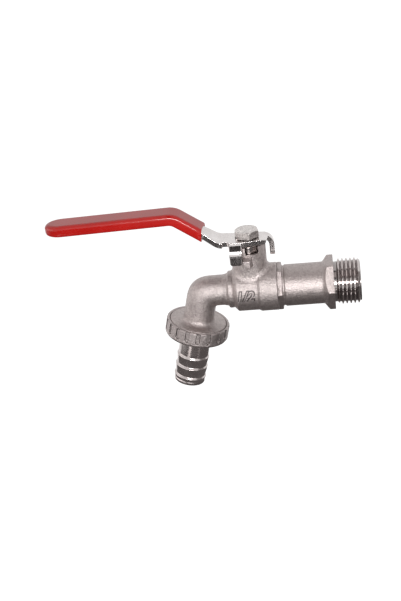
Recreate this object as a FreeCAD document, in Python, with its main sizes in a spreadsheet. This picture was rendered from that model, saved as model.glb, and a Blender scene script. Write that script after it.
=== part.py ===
import FreeCAD, Part
import math
import os
import re
import Sketcher

# Ball-type hose tap. The tap's own frame: origin at the centre of the hexagon flange's face, +X out
# along the inlet thread, +Z up along the stem. All sizes in millimetres, all angles in degrees.

document = FreeCAD.newDocument("hose_tap")
sheet = document.addObject("Spreadsheet::Sheet", "Sizes")

sizes = {
    # where the three axes lie
    "face_to_stem": 37.8,
    "stem_to_spout": 22.8,
    "spout_tilt": 14,
    # inlet adapter
    "inlet_thread_dia": 20.955,
    "inlet_thread_length": 12.1,
    "inlet_lead_length": 1.4,
    "inlet_lead_depth": 1.2,
    "hexagon_flats": 22,
    "hexagon_thickness": 2.7,
    "hexagon_cone_length": 2.2,
    "hexagon_cone_dia": 25.2,
    "barrel_dia": 19.2,
    "collar_flats": 19.1,
    "collar_width": 2.4,
    "collar_taper_length": 1.3,
    "inlet_bore_dia": 13,
    "inlet_bore_cone": 2,
    "spigot_dia": 18.9,
    # valve body, measured from the stem's axis
    "mouth_reach": 12,
    "mouth_dia": 22.1,
    "mouth_step": 4,
    "housing_step": 2.8,
    "housing_dia": 20.8,
    "housing_back": 6.6,
    "housing_chamfer_length": 1.9,
    "bead_dia": 17.2,
    "bead_step": 0.2,
    "bead_width": 1.8,
    "bead_cone_length": 2.2,
    "tube_dia": 14.2,
    "water_bore_dia": 10,
    "elbow_inner_radius": 1.5,
    "elbow_fullness": 0.7,
    "elbow_steps": 4,
    # outlet boss, measured down the spout from the elbow's corner
    "boss_top": 15,
    "boss_foot_radius": 2,
    "outlet_thread_dia": 26.441,
    "boss_rim_dia": 26,
    "boss_rim_height": 0.5,
    "boss_length": 4,
    "boss_end_chamfer": 0.8,
    # ball, seats and seals
    "ball_dia": 16,
    "ball_slot_width": 4,
    "ball_slot_floor": 5.4,
    "ball_clearance": 0.05,
    "seat_outer_dia": 16.4,
    "seat_bore_dia": 10.4,
    "seat_inner_face": 4.6,
    "seat_thickness": 2.8,
    "chamber_dia": 17.2,
    "seal_ring_width": 1,
    "seal_ring_dia": 20.4,
    "part_clearance": 0.05,
    # neck, from the barrel's axis up
    "neck_dia": 16,
    "neck_top": 22.9,
    "neck_foot_radius": 1.6,
    "window_left": 1.1,
    "window_right": 4.8,
    "window_sill": 20,
    "lug_left": 2.3,
    "lug_right": 0.9,
    "lug_reach": 11,
    "lug_floor": 14.9,
    "lug_front_top": 17.9,
    "lug_root_top": 19.8,
    "lug_root_depth": 1,
    # stem and its packing
    "stem_dia": 9,
    "stem_flats": 7.5,
    "stem_top_drop": 0.3,
    "stem_hole_spare": 0.5,
    "stem_bore_clearance": 0.08,
    "shoulder_dia": 11.2,
    "shoulder_floor": 8.6,
    "shoulder_height": 1.6,
    "thrust_washer_thickness": 0.9,
    "blade_length": 7.8,
    "blade_tip": 5.6,
    "blade_clearance": 0.05,
    "web_thickness": 2.9,
    "ring_section": 1.4,
    "ring_squeeze": 0.02,
    "groove_width": 1.6,
    "packing_dia": 12.4,
    "packing_height": 1.1,
    "gland_ring_height": 0.8,
    "gland_flats": 11.5,
    "gland_head_top": 22.9,
    "gland_head_floor": 18.9,
    "gland_room_dia": 13.6,
    "gland_room_floor": 18.5,
    # lever
    "lever_top": 25.5,
    "lever_thickness": 2.3,
    "lever_base_half_width": 6.5,
    "lever_front_half_width": 4.9,
    "lever_front_reach": 8.9,
    "lever_rise_start": 12.5,
    "lever_rise_height": 13.9,
    "lever_rise_angle": 35.5,
    "lever_droop_angle": 1.6,
    "lever_reach": 86,
    "lever_grip_width": 10,
    "lever_neck_reach": 19.5,
    "lever_bend_radius": 6,
    "lever_tip_radius": 1.5,
    "front_ear_bottom": 15.1,
    "side_ear_bottom": 15.9,
    "ear_inner_reach": 9.7,
    "ear_bend_radius": 2.7,
    "ear_back": 4.7,
    "ear_corner_radius": 1.4,
    "side_ear_left": 8.1,
    "side_ear_reach": 8.2,
    "side_ear_bend_radius": 1.2,
    "notch_left": 11.3,
    "notch_depth": 1.8,
    "stop_gap": 0.15,
    # grip sleeve
    "sleeve_start": 9.3,
    "sleeve_start_slant": 1.3,
    "sleeve_wall": 1.6,
    "sleeve_side_wall": 1,
    "sleeve_end_wall": 5.3,
    "sleeve_edge_radius": 1.8,
    "sleeve_tip_radius": 5.6,
    # lever bolt
    "bolt_dia": 6,
    "bolt_length": 10,
    "bolt_flats": 10,
    "bolt_turn": 16.5,
    "bolt_head_height": 3.4,
    "bolt_top_dia": 9.4,
    "bolt_corner_drop": 0.9,
    "washer_dia": 11,
    "washer_bore_dia": 6.3,
    "washer_thickness": 0.4,
    # union nut
    "nut_rim_drop": 0.1,
    "nut_wall": 1.48,
    "nut_height": 7.1,
    "nut_lip": 1.3,
    "nut_edge_drop": 0.8,
    "nut_edge_inset": 0.6,
    "nut_rim_chamfer": 0.3,
    "nut_lead_in": 0.25,
    "nut_thread_clearance": 0.1,
    "nut_lip_clearance": 0.3,
    "nut_pads": 18,
    "nut_groove_width": 1.9,
    "nut_groove_depth": 0.6,
    "nut_groove_top": 0.4,
    "nut_groove_floor": 1.8,
    # hose tail and its gasket
    "gasket_thickness": 1,
    "gasket_dia": 25.6,
    "gasket_bore_dia": 15,
    "tail_flange_dia": 25.8,
    "tail_tube_dia": 14.4,
    "tail_bore_dia": 10,
    "barb_dia": 15.3,
    "barb_root_dia": 14.1,
    "barb_first": 32.4,
    "barb_pitch": 5.3,
    "barb_shoulder": 0.6,
    "tail_end": 47.1,
    "tail_end_dia": 14.5,
    "tail_end_chamfer": 0.9,
}

# Sizes that follow from the ones above.
derived = {
    "collar_to_stem": "mouth_reach + collar_width + collar_taper_length",
    "thread_radius": "inlet_thread_dia / 2",
    "seat_outer_face": "seat_inner_face + seat_thickness",
    "ball_port_reach": "sqrt(ball_dia^2 - water_bore_dia^2) / 2",
    "ball_room_radius": "ball_dia / 2 + ball_clearance",
    "seat_face_radius": "sqrt(ball_room_radius^2 - seat_inner_face^2)",
    "seat_contact_reach": "sqrt(ball_room_radius^2 - seat_bore_dia^2 / 4)",
    "bead_start": "housing_back + housing_chamfer_length",
    "bead_end": "bead_start + bead_width",
    "tube_start": "bead_end + bead_cone_length",
    "elbow_turn": "90 - spout_tilt",
    "elbow_centre_drop": "tube_dia / 2 + elbow_inner_radius",
    "elbow_tangent": "elbow_centre_drop * tan(elbow_turn / 2)",
    "boss_bottom": "boss_top + boss_length",
    "thrust_washer_floor": "shoulder_floor + shoulder_height",
    "web_floor": "thrust_washer_floor + thrust_washer_thickness",
    "packing_floor": "web_floor + web_thickness",
    "gland_ring_floor": "packing_floor + 2 * packing_height",
    "gland_floor": "gland_ring_floor + gland_ring_height",
    "stem_hole_radius": "stem_dia / 2 + stem_bore_clearance",
    "stem_flat_half_chord": "sqrt(stem_dia^2 - stem_flats^2) / 2",
    "groove_radius": "stem_dia / 2 - ring_section",
    "groove_floor": "web_floor + (web_thickness - groove_width) / 2",
    "lever_underside": "lever_top - lever_thickness",
    "lever_outer_bend": "lever_bend_radius + lever_thickness",
    "lever_rise_run": "lever_rise_height / tan(lever_rise_angle)",
    "lever_crest": "lever_rise_start + lever_rise_run",
    "lever_crest_height": "lever_top + lever_rise_height",
    "crest_half_turn": "(lever_rise_angle + lever_droop_angle) / 2",
    "crest_lean": "(lever_rise_angle - lever_droop_angle) / 2",
    "foot_offset": "lever_thickness * tan(lever_rise_angle / 2)",
    "lever_end_height": "lever_crest_height - (lever_reach - lever_crest) * tan(lever_droop_angle)",
    "ear_outer_reach": "ear_inner_reach + lever_thickness",
    "ear_front": "lug_right + stop_gap",
    "side_ear_right": "lug_left + stop_gap",
    "side_ear_outer": "side_ear_reach + lever_thickness",
    "nut_dia": "outlet_thread_dia + 2 * (nut_thread_clearance + nut_wall)",
    "nut_top": "boss_top + nut_rim_drop",
    "nut_bottom": "nut_top + nut_height",
    "nut_lip_top": "nut_bottom - nut_lip",
    "flange_top": "boss_bottom + gasket_thickness",
}

row = 0
for name, value in sizes.items():
    row += 1
    sheet.set("A%d" % row, name.replace("_", " "))
    sheet.set("B%d" % row, str(value))
    sheet.setAlias("B%d" % row, name)
for name, formula in derived.items():
    row += 1
    sheet.set("A%d" % row, name.replace("_", " "))
    sheet.set("B%d" % row, "=" + formula)
    sheet.setAlias("B%d" % row, name)
document.recompute()


def linked(formula):
    """A formula of sheet names, with each name pointed at its cell."""
    def point(word):
        known = word.group() in sizes or word.group() in derived
        return "Sizes." + word.group() if known else word.group()
    return re.sub(r"[a-z][a-z0-9_]*", point, str(formula))


def number(formula):
    """What a formula of sheet names comes to."""
    return float(sheet.evalExpression(linked(formula)))


def bind(feature, **formulas):
    """Tie properties of a feature to formulas of sheet names."""
    for name, formula in formulas.items():
        setattr(feature, name, number(formula))
        feature.setExpression(name, linked(formula))


def body(label):
    return document.addObject("PartDesign::Body", label)


def sketch(owner, name, plane, shift=None, turn=None):
    """An empty sketch on one of the body's own planes. shift moves it along the plane's x, y and
    normal, and turn leans it about the plane's own x, y or normal."""
    drawn = owner.newObject("Sketcher::SketchObject", name)
    support = [each for each in owner.Origin.OriginFeatures if each.Role == plane][0]
    drawn.AttachmentSupport = [(support, "")]
    drawn.MapMode = "FlatFace"
    place = FreeCAD.Placement()
    if shift:
        place.Base = FreeCAD.Vector(*[number(each) for each in shift])
    if turn:
        place.Rotation = FreeCAD.Rotation(FreeCAD.Vector(*turn[0]), number(turn[1]))
    drawn.AttachmentOffset = place
    if shift:
        for axis, formula in zip("xyz", shift):
            drawn.setExpression(".AttachmentOffset.Base." + axis, linked(formula))
    if turn:
        drawn.setExpression(".AttachmentOffset.Rotation.Angle", linked(turn[1]))
    return drawn


def outline(drawn, corners):
    """A closed outline. Each corner is a pair of formulas. A third one makes the side that leaves it
    an arc of that radius, and "left" or "right" says which way the arc turns."""
    points = [FreeCAD.Vector(number(each[0]), number(each[1]), 0) for each in corners]
    first = drawn.GeometryCount
    ends = []
    for index, corner in enumerate(corners):
        start = points[index]
        end = points[(index + 1) % len(corners)]
        if len(corner) == 2:
            drawn.addGeometry(Part.LineSegment(start, end))
            ends.append((1, 2))
            continue
        radius = number(corner[2])
        chord = end - start
        across = FreeCAD.Vector(-chord.y, chord.x, 0).normalize()
        reach = math.sqrt(max(radius ** 2 - chord.Length ** 2 / 4, 0))
        side = 1 if corner[3] == "left" else -1
        centre = (start + end) / 2 + across * reach * side
        circle = Part.Circle(centre, FreeCAD.Vector(0, 0, 1), radius)
        from_point, to_point = (start, end) if side == 1 else (end, start)
        begin = math.atan2(from_point.y - centre.y, from_point.x - centre.x)
        finish = math.atan2(to_point.y - centre.y, to_point.x - centre.x)
        drawn.addGeometry(Part.ArcOfCircle(circle, begin, finish))
        ends.append((1, 2) if side == 1 else (2, 1))
    for index, corner in enumerate(corners):
        side = first + index
        following = (index + 1) % len(corners)
        drawn.addConstraint(Sketcher.Constraint(
            "Coincident", side, ends[index][1], first + following, ends[following][0]))
        for kind, formula in (("DistanceX", corner[0]), ("DistanceY", corner[1])):
            held = drawn.addConstraint(Sketcher.Constraint(kind, side, ends[index][0], number(formula)))
            drawn.setExpression("Constraints[%d]" % held, linked(formula))
        if len(corner) > 2:
            held = drawn.addConstraint(Sketcher.Constraint("Radius", side, number(corner[2])))
            drawn.setExpression("Constraints[%d]" % held, linked(corner[2]))
    return drawn


def circle(drawn, radius, centre=("0", "0")):
    """A circle whose radius and centre are formulas."""
    middle = FreeCAD.Vector(number(centre[0]), number(centre[1]), 0)
    index = drawn.addGeometry(Part.Circle(middle, FreeCAD.Vector(0, 0, 1), number(radius)))
    for kind, formula in (("DistanceX", centre[0]), ("DistanceY", centre[1])):
        held = drawn.addConstraint(Sketcher.Constraint(kind, index, 3, number(formula)))
        drawn.setExpression("Constraints[%d]" % held, linked(formula))
    held = drawn.addConstraint(Sketcher.Constraint("Radius", index, number(radius)))
    drawn.setExpression("Constraints[%d]" % held, linked(radius))
    return drawn


def hexagon(drawn, flats, turn="0"):
    """A regular hexagon of this width across flats round the sketch's origin, with a corner on the
    x axis and then turned clockwise."""
    return outline(drawn, [
        ("(%s) / sqrt(3) * cos(%d - %s)" % (flats, corner, turn),
         "(%s) / sqrt(3) * sin(%d - %s)" % (flats, corner, turn)) for corner in range(0, 360, 60)])


def bend(corner, radius, turn, into, out, way):
    """Two corners that round one corner of a bent strip. turn is the angle of the bend, and into and
    out are the headings of the sides before and after it."""
    tangent = "(%s) * tan((%s) / 2)" % (radius, turn)
    return [
        ("%s - %s * cos(%s)" % (corner[0], tangent, into),
         "%s - %s * sin(%s)" % (corner[1], tangent, into), radius, way),
        ("%s + %s * cos(%s)" % (corner[0], tangent, out),
         "%s + %s * sin(%s)" % (corner[1], tangent, out)),
    ]


def feature(owner, kind, name, drawn, **formulas):
    """A PartDesign feature made from a sketch."""
    made = owner.newObject("PartDesign::" + kind, name)
    made.Profile = drawn
    bind(made, **formulas)
    return made


def spin(owner, kind, name, drawn, axis):
    """A full turn of a sketch about its own H_Axis or V_Axis, as a Revolution or a Groove."""
    made = owner.newObject("PartDesign::" + kind, name)
    made.Profile = drawn
    made.ReferenceAxis = (drawn, [axis])
    made.Angle = 360
    return made


def ring(owner, inner, outer, low, high):
    """A plain ring about the body's Z axis."""
    drawn = outline(sketch(owner, owner.Name + "_section", "XZ_Plane"),
                    [(inner, low), (outer, low), (outer, high), (inner, high)])
    return spin(owner, "Revolution", owner.Name + "_turned", drawn, "V_Axis")


def round_edges(owner, name, base, radius, wanted):
    """Fillet the edges of a feature that the test picks."""
    document.recompute()
    picked = ["Edge%d" % (index + 1) for index, edge in enumerate(base.Shape.Edges) if wanted(edge)]
    made = owner.newObject("PartDesign::Fillet", name)
    made.Base = (base, picked)
    bind(made, Radius=radius)
    return made


def along(edge, axis):
    """True for a straight edge that runs along x, y or z."""
    if not isinstance(edge.Curve, Part.Line):
        return False
    direction = edge.Curve.Direction
    return abs(abs(getattr(direction, axis)) - 1) < 1e-6


def near(edge, **places):
    """True where the edge's middle lies at these coordinates, each a formula."""
    middle = edge.BoundBox.Center
    return all(abs(getattr(middle, axis) - number(place)) < 0.01 for axis, place in places.items())


def at_stem(owner):
    """Put a body that is drawn round the stem's axis in its place."""
    owner.setExpression(".Placement.Base.x", linked("-face_to_stem"))
    return owner


def at_spout(owner):
    """Put a body that is drawn round the spout's axis in its place."""
    owner.Placement = FreeCAD.Placement(
        FreeCAD.Vector(0, 0, 0), FreeCAD.Rotation(FreeCAD.Vector(0, 1, 0), number("spout_tilt")))
    owner.setExpression(".Placement.Base.x", linked("-face_to_stem - stem_to_spout"))
    owner.setExpression(".Placement.Rotation.Angle", linked("spout_tilt"))
    return owner


along_spout = ("-stem_to_spout", "0", "0")
spout_lean = ((0, 0, 1), "-spout_tilt")


def make_valve_body():
    """Ball housing, neck with window and stop lug, tube, elbow, spout and threaded outlet boss."""
    part = body("valve_body")
    housing = outline(sketch(part, "housing_outline", "XZ_Plane"), [
        ("mouth_reach", "0"),
        ("mouth_reach", "mouth_dia / 2"),
        ("mouth_step", "mouth_dia / 2"),
        ("housing_step", "housing_dia / 2"),
        ("-housing_back", "housing_dia / 2"),
        ("-bead_start", "bead_dia / 2 - bead_step"),
        ("-bead_start", "bead_dia / 2"),
        ("-bead_end", "bead_dia / 2"),
        ("-tube_start", "tube_dia / 2"),
        ("-stem_to_spout + elbow_tangent", "tube_dia / 2"),
        ("-stem_to_spout + elbow_tangent", "0"),
    ])
    spin(part, "Revolution", "housing", housing, "H_Axis")

    neck = outline(sketch(part, "neck_outline", "XZ_Plane"), [
        ("0", "0"),
        ("neck_dia / 2", "0"),
        ("neck_dia / 2", "neck_top"),
        ("0", "neck_top"),
    ])
    joined = spin(part, "Revolution", "neck", neck, "V_Axis")

    def at_foot(edge):
        """True for a piece of the curve where the neck's wall meets the barrel."""
        ends = [math.hypot(each.X, each.Y) for each in edge.Vertexes]
        return (not along(edge, "z") and edge.BoundBox.ZMax < number("window_sill")
                and edge.BoundBox.XLength > number("part_clearance")
                and all(math.isclose(end, number("neck_dia / 2"), abs_tol=0.01) for end in ends))
    round_edges(part, "neck_foot", joined, "neck_foot_radius", at_foot)

    sections = []
    for step in range(sizes["elbow_steps"] + 1):
        lean = "elbow_turn * %d / elbow_steps" % step
        fullness = "elbow_fullness * sin(180 * %d / elbow_steps)^2" % step
        drawn = sketch(part, "elbow_section_%d" % step, "YZ_Plane",
                       shift=("0", "-elbow_centre_drop", "-stem_to_spout + elbow_tangent"),
                       turn=((1, 0, 0), "-(%s)" % lean))
        middle = FreeCAD.Vector(0, number("elbow_centre_drop + " + fullness), 0)
        tall = number("tube_dia / 2 + " + fullness)
        wide = number("tube_dia / 2")
        if tall - wide > 1e-6:
            drawn.addGeometry(Part.Ellipse(middle + FreeCAD.Vector(0, tall, 0),
                                           middle + FreeCAD.Vector(wide, 0, 0), middle))
        else:
            circle(drawn, "tube_dia / 2", ("0", "elbow_centre_drop"))
        sections.append(drawn)
    elbow = part.newObject("PartDesign::AdditiveLoft", "elbow")
    elbow.Profile = sections[0]
    elbow.Sections = sections[1:]

    spout = outline(sketch(part, "spout_outline", "XZ_Plane", shift=along_spout, turn=spout_lean), [
        ("0", "-elbow_tangent"),
        ("0", "-boss_bottom"),
        ("outlet_thread_dia / 2 - boss_end_chamfer", "-boss_bottom"),
        ("outlet_thread_dia / 2", "-boss_bottom + boss_end_chamfer"),
        ("outlet_thread_dia / 2", "-boss_top - boss_rim_height"),
        ("boss_rim_dia / 2", "-boss_top"),
        ("tube_dia / 2 + boss_foot_radius", "-boss_top", "boss_foot_radius", "right"),
        ("tube_dia / 2", "-boss_top + boss_foot_radius"),
        ("tube_dia / 2", "-elbow_tangent"),
    ])
    spin(part, "Revolution", "spout", spout, "V_Axis")

    lug = outline(sketch(part, "lug_outline", "YZ_Plane", shift=("0", "0", "-lug_left")), [
        ("-neck_dia / 2 + lug_root_depth", "lug_floor"),
        ("-lug_reach", "lug_floor"),
        ("-lug_reach", "lug_front_top"),
        ("-neck_dia / 2 + lug_root_depth", "lug_root_top"),
    ])
    feature(part, "Pad", "lug", lug, Length="lug_left + lug_right")

    ball_room = outline(sketch(part, "ball_room", "XZ_Plane"), [
        ("mouth_reach", "0"),
        ("mouth_reach", "seal_ring_dia / 2"),
        ("mouth_reach - seal_ring_width", "seal_ring_dia / 2"),
        ("mouth_reach - seal_ring_width", "spigot_dia / 2 + part_clearance"),
        ("seat_outer_face", "spigot_dia / 2 + part_clearance"),
        ("seat_outer_face", "chamber_dia / 2"),
        ("-seat_inner_face", "chamber_dia / 2"),
        ("-seat_inner_face", "seat_outer_dia / 2 + part_clearance"),
        ("-seat_outer_face", "seat_outer_dia / 2 + part_clearance"),
        ("-seat_outer_face", "water_bore_dia / 2"),
        ("-stem_to_spout", "water_bore_dia / 2"),
        ("-stem_to_spout", "0"),
    ])
    spin(part, "Groove", "ball_room_cut", ball_room, "H_Axis")

    spout_bore = outline(sketch(part, "spout_bore", "XZ_Plane", shift=along_spout, turn=spout_lean), [
        ("0", "water_bore_dia / 2", "water_bore_dia / 2", "right"),
        ("water_bore_dia / 2", "0"),
        ("water_bore_dia / 2", "-boss_bottom"),
        ("0", "-boss_bottom"),
    ])
    spin(part, "Groove", "spout_bore_cut", spout_bore, "V_Axis")

    stem_room = outline(sketch(part, "stem_room", "XZ_Plane"), [
        ("0", "0"),
        ("shoulder_dia / 2 + stem_bore_clearance", "0"),
        ("shoulder_dia / 2 + stem_bore_clearance", "web_floor"),
        ("stem_hole_radius", "web_floor"),
        ("stem_hole_radius", "packing_floor"),
        ("packing_dia / 2 + part_clearance", "packing_floor"),
        ("packing_dia / 2 + part_clearance", "gland_room_floor"),
        ("gland_room_dia / 2", "gland_room_floor"),
        ("gland_room_dia / 2", "neck_top"),
        ("0", "neck_top"),
    ])
    spin(part, "Groove", "stem_room_cut", stem_room, "V_Axis")

    window = outline(sketch(part, "window_outline", "XZ_Plane"), [
        ("-window_left", "window_sill"),
        ("window_right", "window_sill"),
        ("window_right", "2 * neck_top"),
        ("-window_left", "2 * neck_top"),
    ])
    opening = feature(part, "Pocket", "window", window, Length="neck_dia")
    opening.Reversed = True
    return at_stem(part)


def make_inlet_adapter():
    """Wrench collar, barrel, hexagon flange and male thread; drawn from the flange's face."""
    part = body("inlet_adapter")
    turned = outline(sketch(part, "adapter_outline", "XZ_Plane"), [
        ("inlet_thread_length", "0"),
        ("inlet_thread_length", "thread_radius - inlet_lead_depth"),
        ("inlet_thread_length - inlet_lead_length", "thread_radius"),
        ("0", "thread_radius"),
        ("0", "barrel_dia / 2"),
        ("-face_to_stem + collar_to_stem", "barrel_dia / 2"),
        ("-face_to_stem + collar_to_stem - collar_taper_length", "collar_flats / 2"),
        ("-face_to_stem + mouth_reach", "collar_flats / 2"),
        ("-face_to_stem + mouth_reach", "spigot_dia / 2"),
        ("-face_to_stem + seat_outer_face", "spigot_dia / 2"),
        ("-face_to_stem + seat_outer_face", "0"),
    ])
    spin(part, "Revolution", "adapter_turned", turned, "H_Axis")
    flange = sketch(part, "flange_hexagon", "YZ_Plane",
                    shift=("0", "0", "-hexagon_thickness - hexagon_cone_length"))
    hexagon(flange, "hexagon_flats")
    feature(part, "Pad", "flange", flange, Length="hexagon_thickness + hexagon_cone_length")
    back = outline(sketch(part, "flange_back", "XZ_Plane"), [
        ("-hexagon_thickness - hexagon_cone_length", "barrel_dia / 2"),
        ("-hexagon_thickness", "hexagon_cone_dia / 2"),
        ("-hexagon_thickness", "hexagon_flats"),
        ("-hexagon_thickness - hexagon_cone_length", "hexagon_flats"),
    ])
    spin(part, "Groove", "flange_back_cut", back, "H_Axis")
    collar = sketch(part, "collar_hexagon", "YZ_Plane", shift=("0", "0", "-face_to_stem + mouth_reach"))
    hexagon(collar, "collar_flats")
    feature(part, "Pad", "collar", collar, Length="collar_width")
    bore = outline(sketch(part, "adapter_bore", "XZ_Plane"), [
        ("inlet_thread_length", "0"),
        ("inlet_thread_length", "inlet_bore_dia / 2"),
        ("-face_to_stem + mouth_reach + inlet_bore_cone / 2", "inlet_bore_dia / 2"),
        ("-face_to_stem + mouth_reach - inlet_bore_cone / 2", "seat_bore_dia / 2"),
        ("-face_to_stem + seat_outer_face", "seat_bore_dia / 2"),
        ("-face_to_stem + seat_outer_face", "0"),
    ])
    spin(part, "Groove", "adapter_bore_cut", bore, "H_Axis")
    return part


def make_joint_seal_ring():
    """Flat ring in the recess of the body's mouth, pressed by the adapter's collar."""
    part = body("joint_seal_ring")
    drawn = outline(sketch(part, "seal_section", "XZ_Plane"), [
        ("mouth_reach - seal_ring_width", "spigot_dia / 2 + part_clearance"),
        ("mouth_reach", "spigot_dia / 2 + part_clearance"),
        ("mouth_reach", "seal_ring_dia / 2 - part_clearance"),
        ("mouth_reach - seal_ring_width", "seal_ring_dia / 2 - part_clearance"),
    ])
    spin(part, "Revolution", "seal_turned", drawn, "H_Axis")
    return at_stem(part)


def make_seat_ring(label, side):
    """Seat with a face hollowed to the ball; side is an empty text or a minus sign."""
    part = body(label)
    turn = "left" if side else "right"
    drawn = outline(sketch(part, label + "_section", "XZ_Plane"), [
        (side + "seat_contact_reach", "seat_bore_dia / 2"),
        (side + "seat_outer_face", "seat_bore_dia / 2"),
        (side + "seat_outer_face", "seat_outer_dia / 2"),
        (side + "seat_inner_face", "seat_outer_dia / 2"),
        (side + "seat_inner_face", "seat_face_radius", "ball_room_radius", turn),
    ])
    spin(part, "Revolution", label + "_turned", drawn, "H_Axis")
    return at_stem(part)


def make_ball():
    """Ball with a port along X when open and a slot across its top for the stem's blade."""
    part = body("ball")
    drawn = outline(sketch(part, "ball_section", "XZ_Plane"), [
        ("-ball_port_reach", "water_bore_dia / 2"),
        ("ball_port_reach", "water_bore_dia / 2", "ball_dia / 2", "left"),
    ])
    spin(part, "Revolution", "ball_turned", drawn, "H_Axis")
    slot = outline(sketch(part, "slot_outline", "XZ_Plane"), [
        ("-ball_slot_width / 2", "ball_slot_floor"),
        ("ball_slot_width / 2", "ball_slot_floor"),
        ("ball_slot_width / 2", "ball_dia"),
        ("-ball_slot_width / 2", "ball_dia"),
    ])
    cut = feature(part, "Pocket", "slot", slot, Length="2 * ball_dia")
    cut.SideType = "Symmetric"
    return at_stem(part)


def make_stem():
    """Stem with drive blade, blow-out shoulder, O-ring groove, two flats and a tapped hole."""
    part = body("stem")
    turned = outline(sketch(part, "stem_outline", "XZ_Plane"), [
        ("0", "shoulder_floor"),
        ("shoulder_dia / 2", "shoulder_floor"),
        ("shoulder_dia / 2", "thrust_washer_floor"),
        ("stem_dia / 2", "thrust_washer_floor"),
        ("stem_dia / 2", "groove_floor"),
        ("groove_radius", "groove_floor"),
        ("groove_radius", "groove_floor + groove_width"),
        ("stem_dia / 2", "groove_floor + groove_width"),
        ("stem_dia / 2", "lever_underside"),
        ("0", "lever_underside"),
    ])
    spin(part, "Revolution", "stem_turned", turned, "V_Axis")
    flats = sketch(part, "flats_outline", "XY_Plane", shift=("0", "0", "lever_underside"))
    outline(flats, [
        ("-stem_flat_half_chord", "-stem_flats / 2"),
        ("stem_flat_half_chord", "-stem_flats / 2", "stem_dia / 2", "left"),
        ("stem_flat_half_chord", "stem_flats / 2"),
        ("-stem_flat_half_chord", "stem_flats / 2", "stem_dia / 2", "left"),
    ])
    feature(part, "Pad", "flats", flats, Length="lever_thickness - stem_top_drop")
    blade = sketch(part, "blade_outline", "XY_Plane", shift=("0", "0", "blade_tip"))
    outline(blade, [
        ("-ball_slot_width / 2 + blade_clearance", "-blade_length / 2"),
        ("ball_slot_width / 2 - blade_clearance", "-blade_length / 2"),
        ("ball_slot_width / 2 - blade_clearance", "blade_length / 2"),
        ("-ball_slot_width / 2 + blade_clearance", "blade_length / 2"),
    ])
    feature(part, "Pad", "blade", blade, Length="shoulder_floor - blade_tip")
    tapped = circle(sketch(part, "tapped_outline", "XY_Plane", shift=("0", "0", "lever_top")),
                    "bolt_dia / 2 + part_clearance")
    feature(part, "Pocket", "tapped_hole", tapped, Length="bolt_length + stem_hole_spare")
    return at_stem(part)


def make_stem_rings():
    """Thrust washer, O-ring, packing, gland ring: all turned round the stem."""
    inner = "stem_dia / 2 + part_clearance"
    washer = body("stem_thrust_washer")
    ring(washer, inner, "shoulder_dia / 2", "thrust_washer_floor", "web_floor")
    made = [at_stem(washer)]
    for label, floor in (("packing_ring_lower", "packing_floor"),
                         ("packing_ring_upper", "packing_floor + packing_height")):
        packing = body(label)
        ring(packing, inner, "packing_dia / 2", floor, floor + " + packing_height")
        made.append(at_stem(packing))
    gland_ring = body("gland_ring")
    ring(gland_ring, inner, "packing_dia / 2", "gland_ring_floor", "gland_floor")
    made.append(at_stem(gland_ring))
    seal = body("stem_o_ring")
    middle = ("groove_radius + ring_section / 2", "groove_floor + groove_width / 2")
    reach = "(ring_section / 2 - ring_squeeze)"
    drawn = outline(sketch(seal, "o_ring_section", "XZ_Plane"), [
        ("%s + %s * cos(%s) / cos(22.5)" % (middle[0], reach, corner),
         "%s + %s * sin(%s) / cos(22.5)" % (middle[1], reach, corner))
        for corner in (22.5, 67.5, 112.5, 157.5, 202.5, 247.5, 292.5, 337.5)])
    spin(seal, "Revolution", "o_ring_turned", drawn, "V_Axis")
    made.append(at_stem(seal))
    return made


def make_gland_nut():
    """Threaded skirt and hexagon head, seen through the neck's window."""
    part = body("gland_nut")
    ring(part, "stem_dia / 2 + stem_bore_clearance", "packing_dia / 2", "gland_floor", "gland_head_floor")
    head = sketch(part, "gland_hexagon", "XY_Plane", shift=("0", "0", "gland_head_floor"))
    hexagon(head, "gland_flats")
    circle(head, "stem_dia / 2 + stem_bore_clearance")
    feature(part, "Pad", "gland_head", head, Length="gland_head_top - gland_head_floor")
    return at_stem(part)


def crest_top(wall):
    """The lever's upper face at the bend above the grip, this much outside the steel."""
    corner = ("-lever_crest + (%s) * sin(crest_lean) / cos(crest_half_turn)" % wall,
              "lever_crest_height + (%s) * cos(crest_lean) / cos(crest_half_turn)" % wall)
    return bend(corner, "lever_outer_bend + (%s)" % wall, "2 * crest_half_turn",
                "180 - lever_rise_angle", "180 + lever_droop_angle", "left")


def crest_underside(wall):
    """The lever's lower face at the same bend."""
    corner = ("-lever_crest - (lever_thickness + (%s)) * sin(crest_lean) / cos(crest_half_turn)" % wall,
              "lever_crest_height - (lever_thickness + (%s)) * cos(crest_lean) / cos(crest_half_turn)" % wall)
    return bend(corner, "lever_bend_radius - (%s)" % wall, "2 * crest_half_turn",
                "lever_droop_angle", "-lever_rise_angle", "right")


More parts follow.
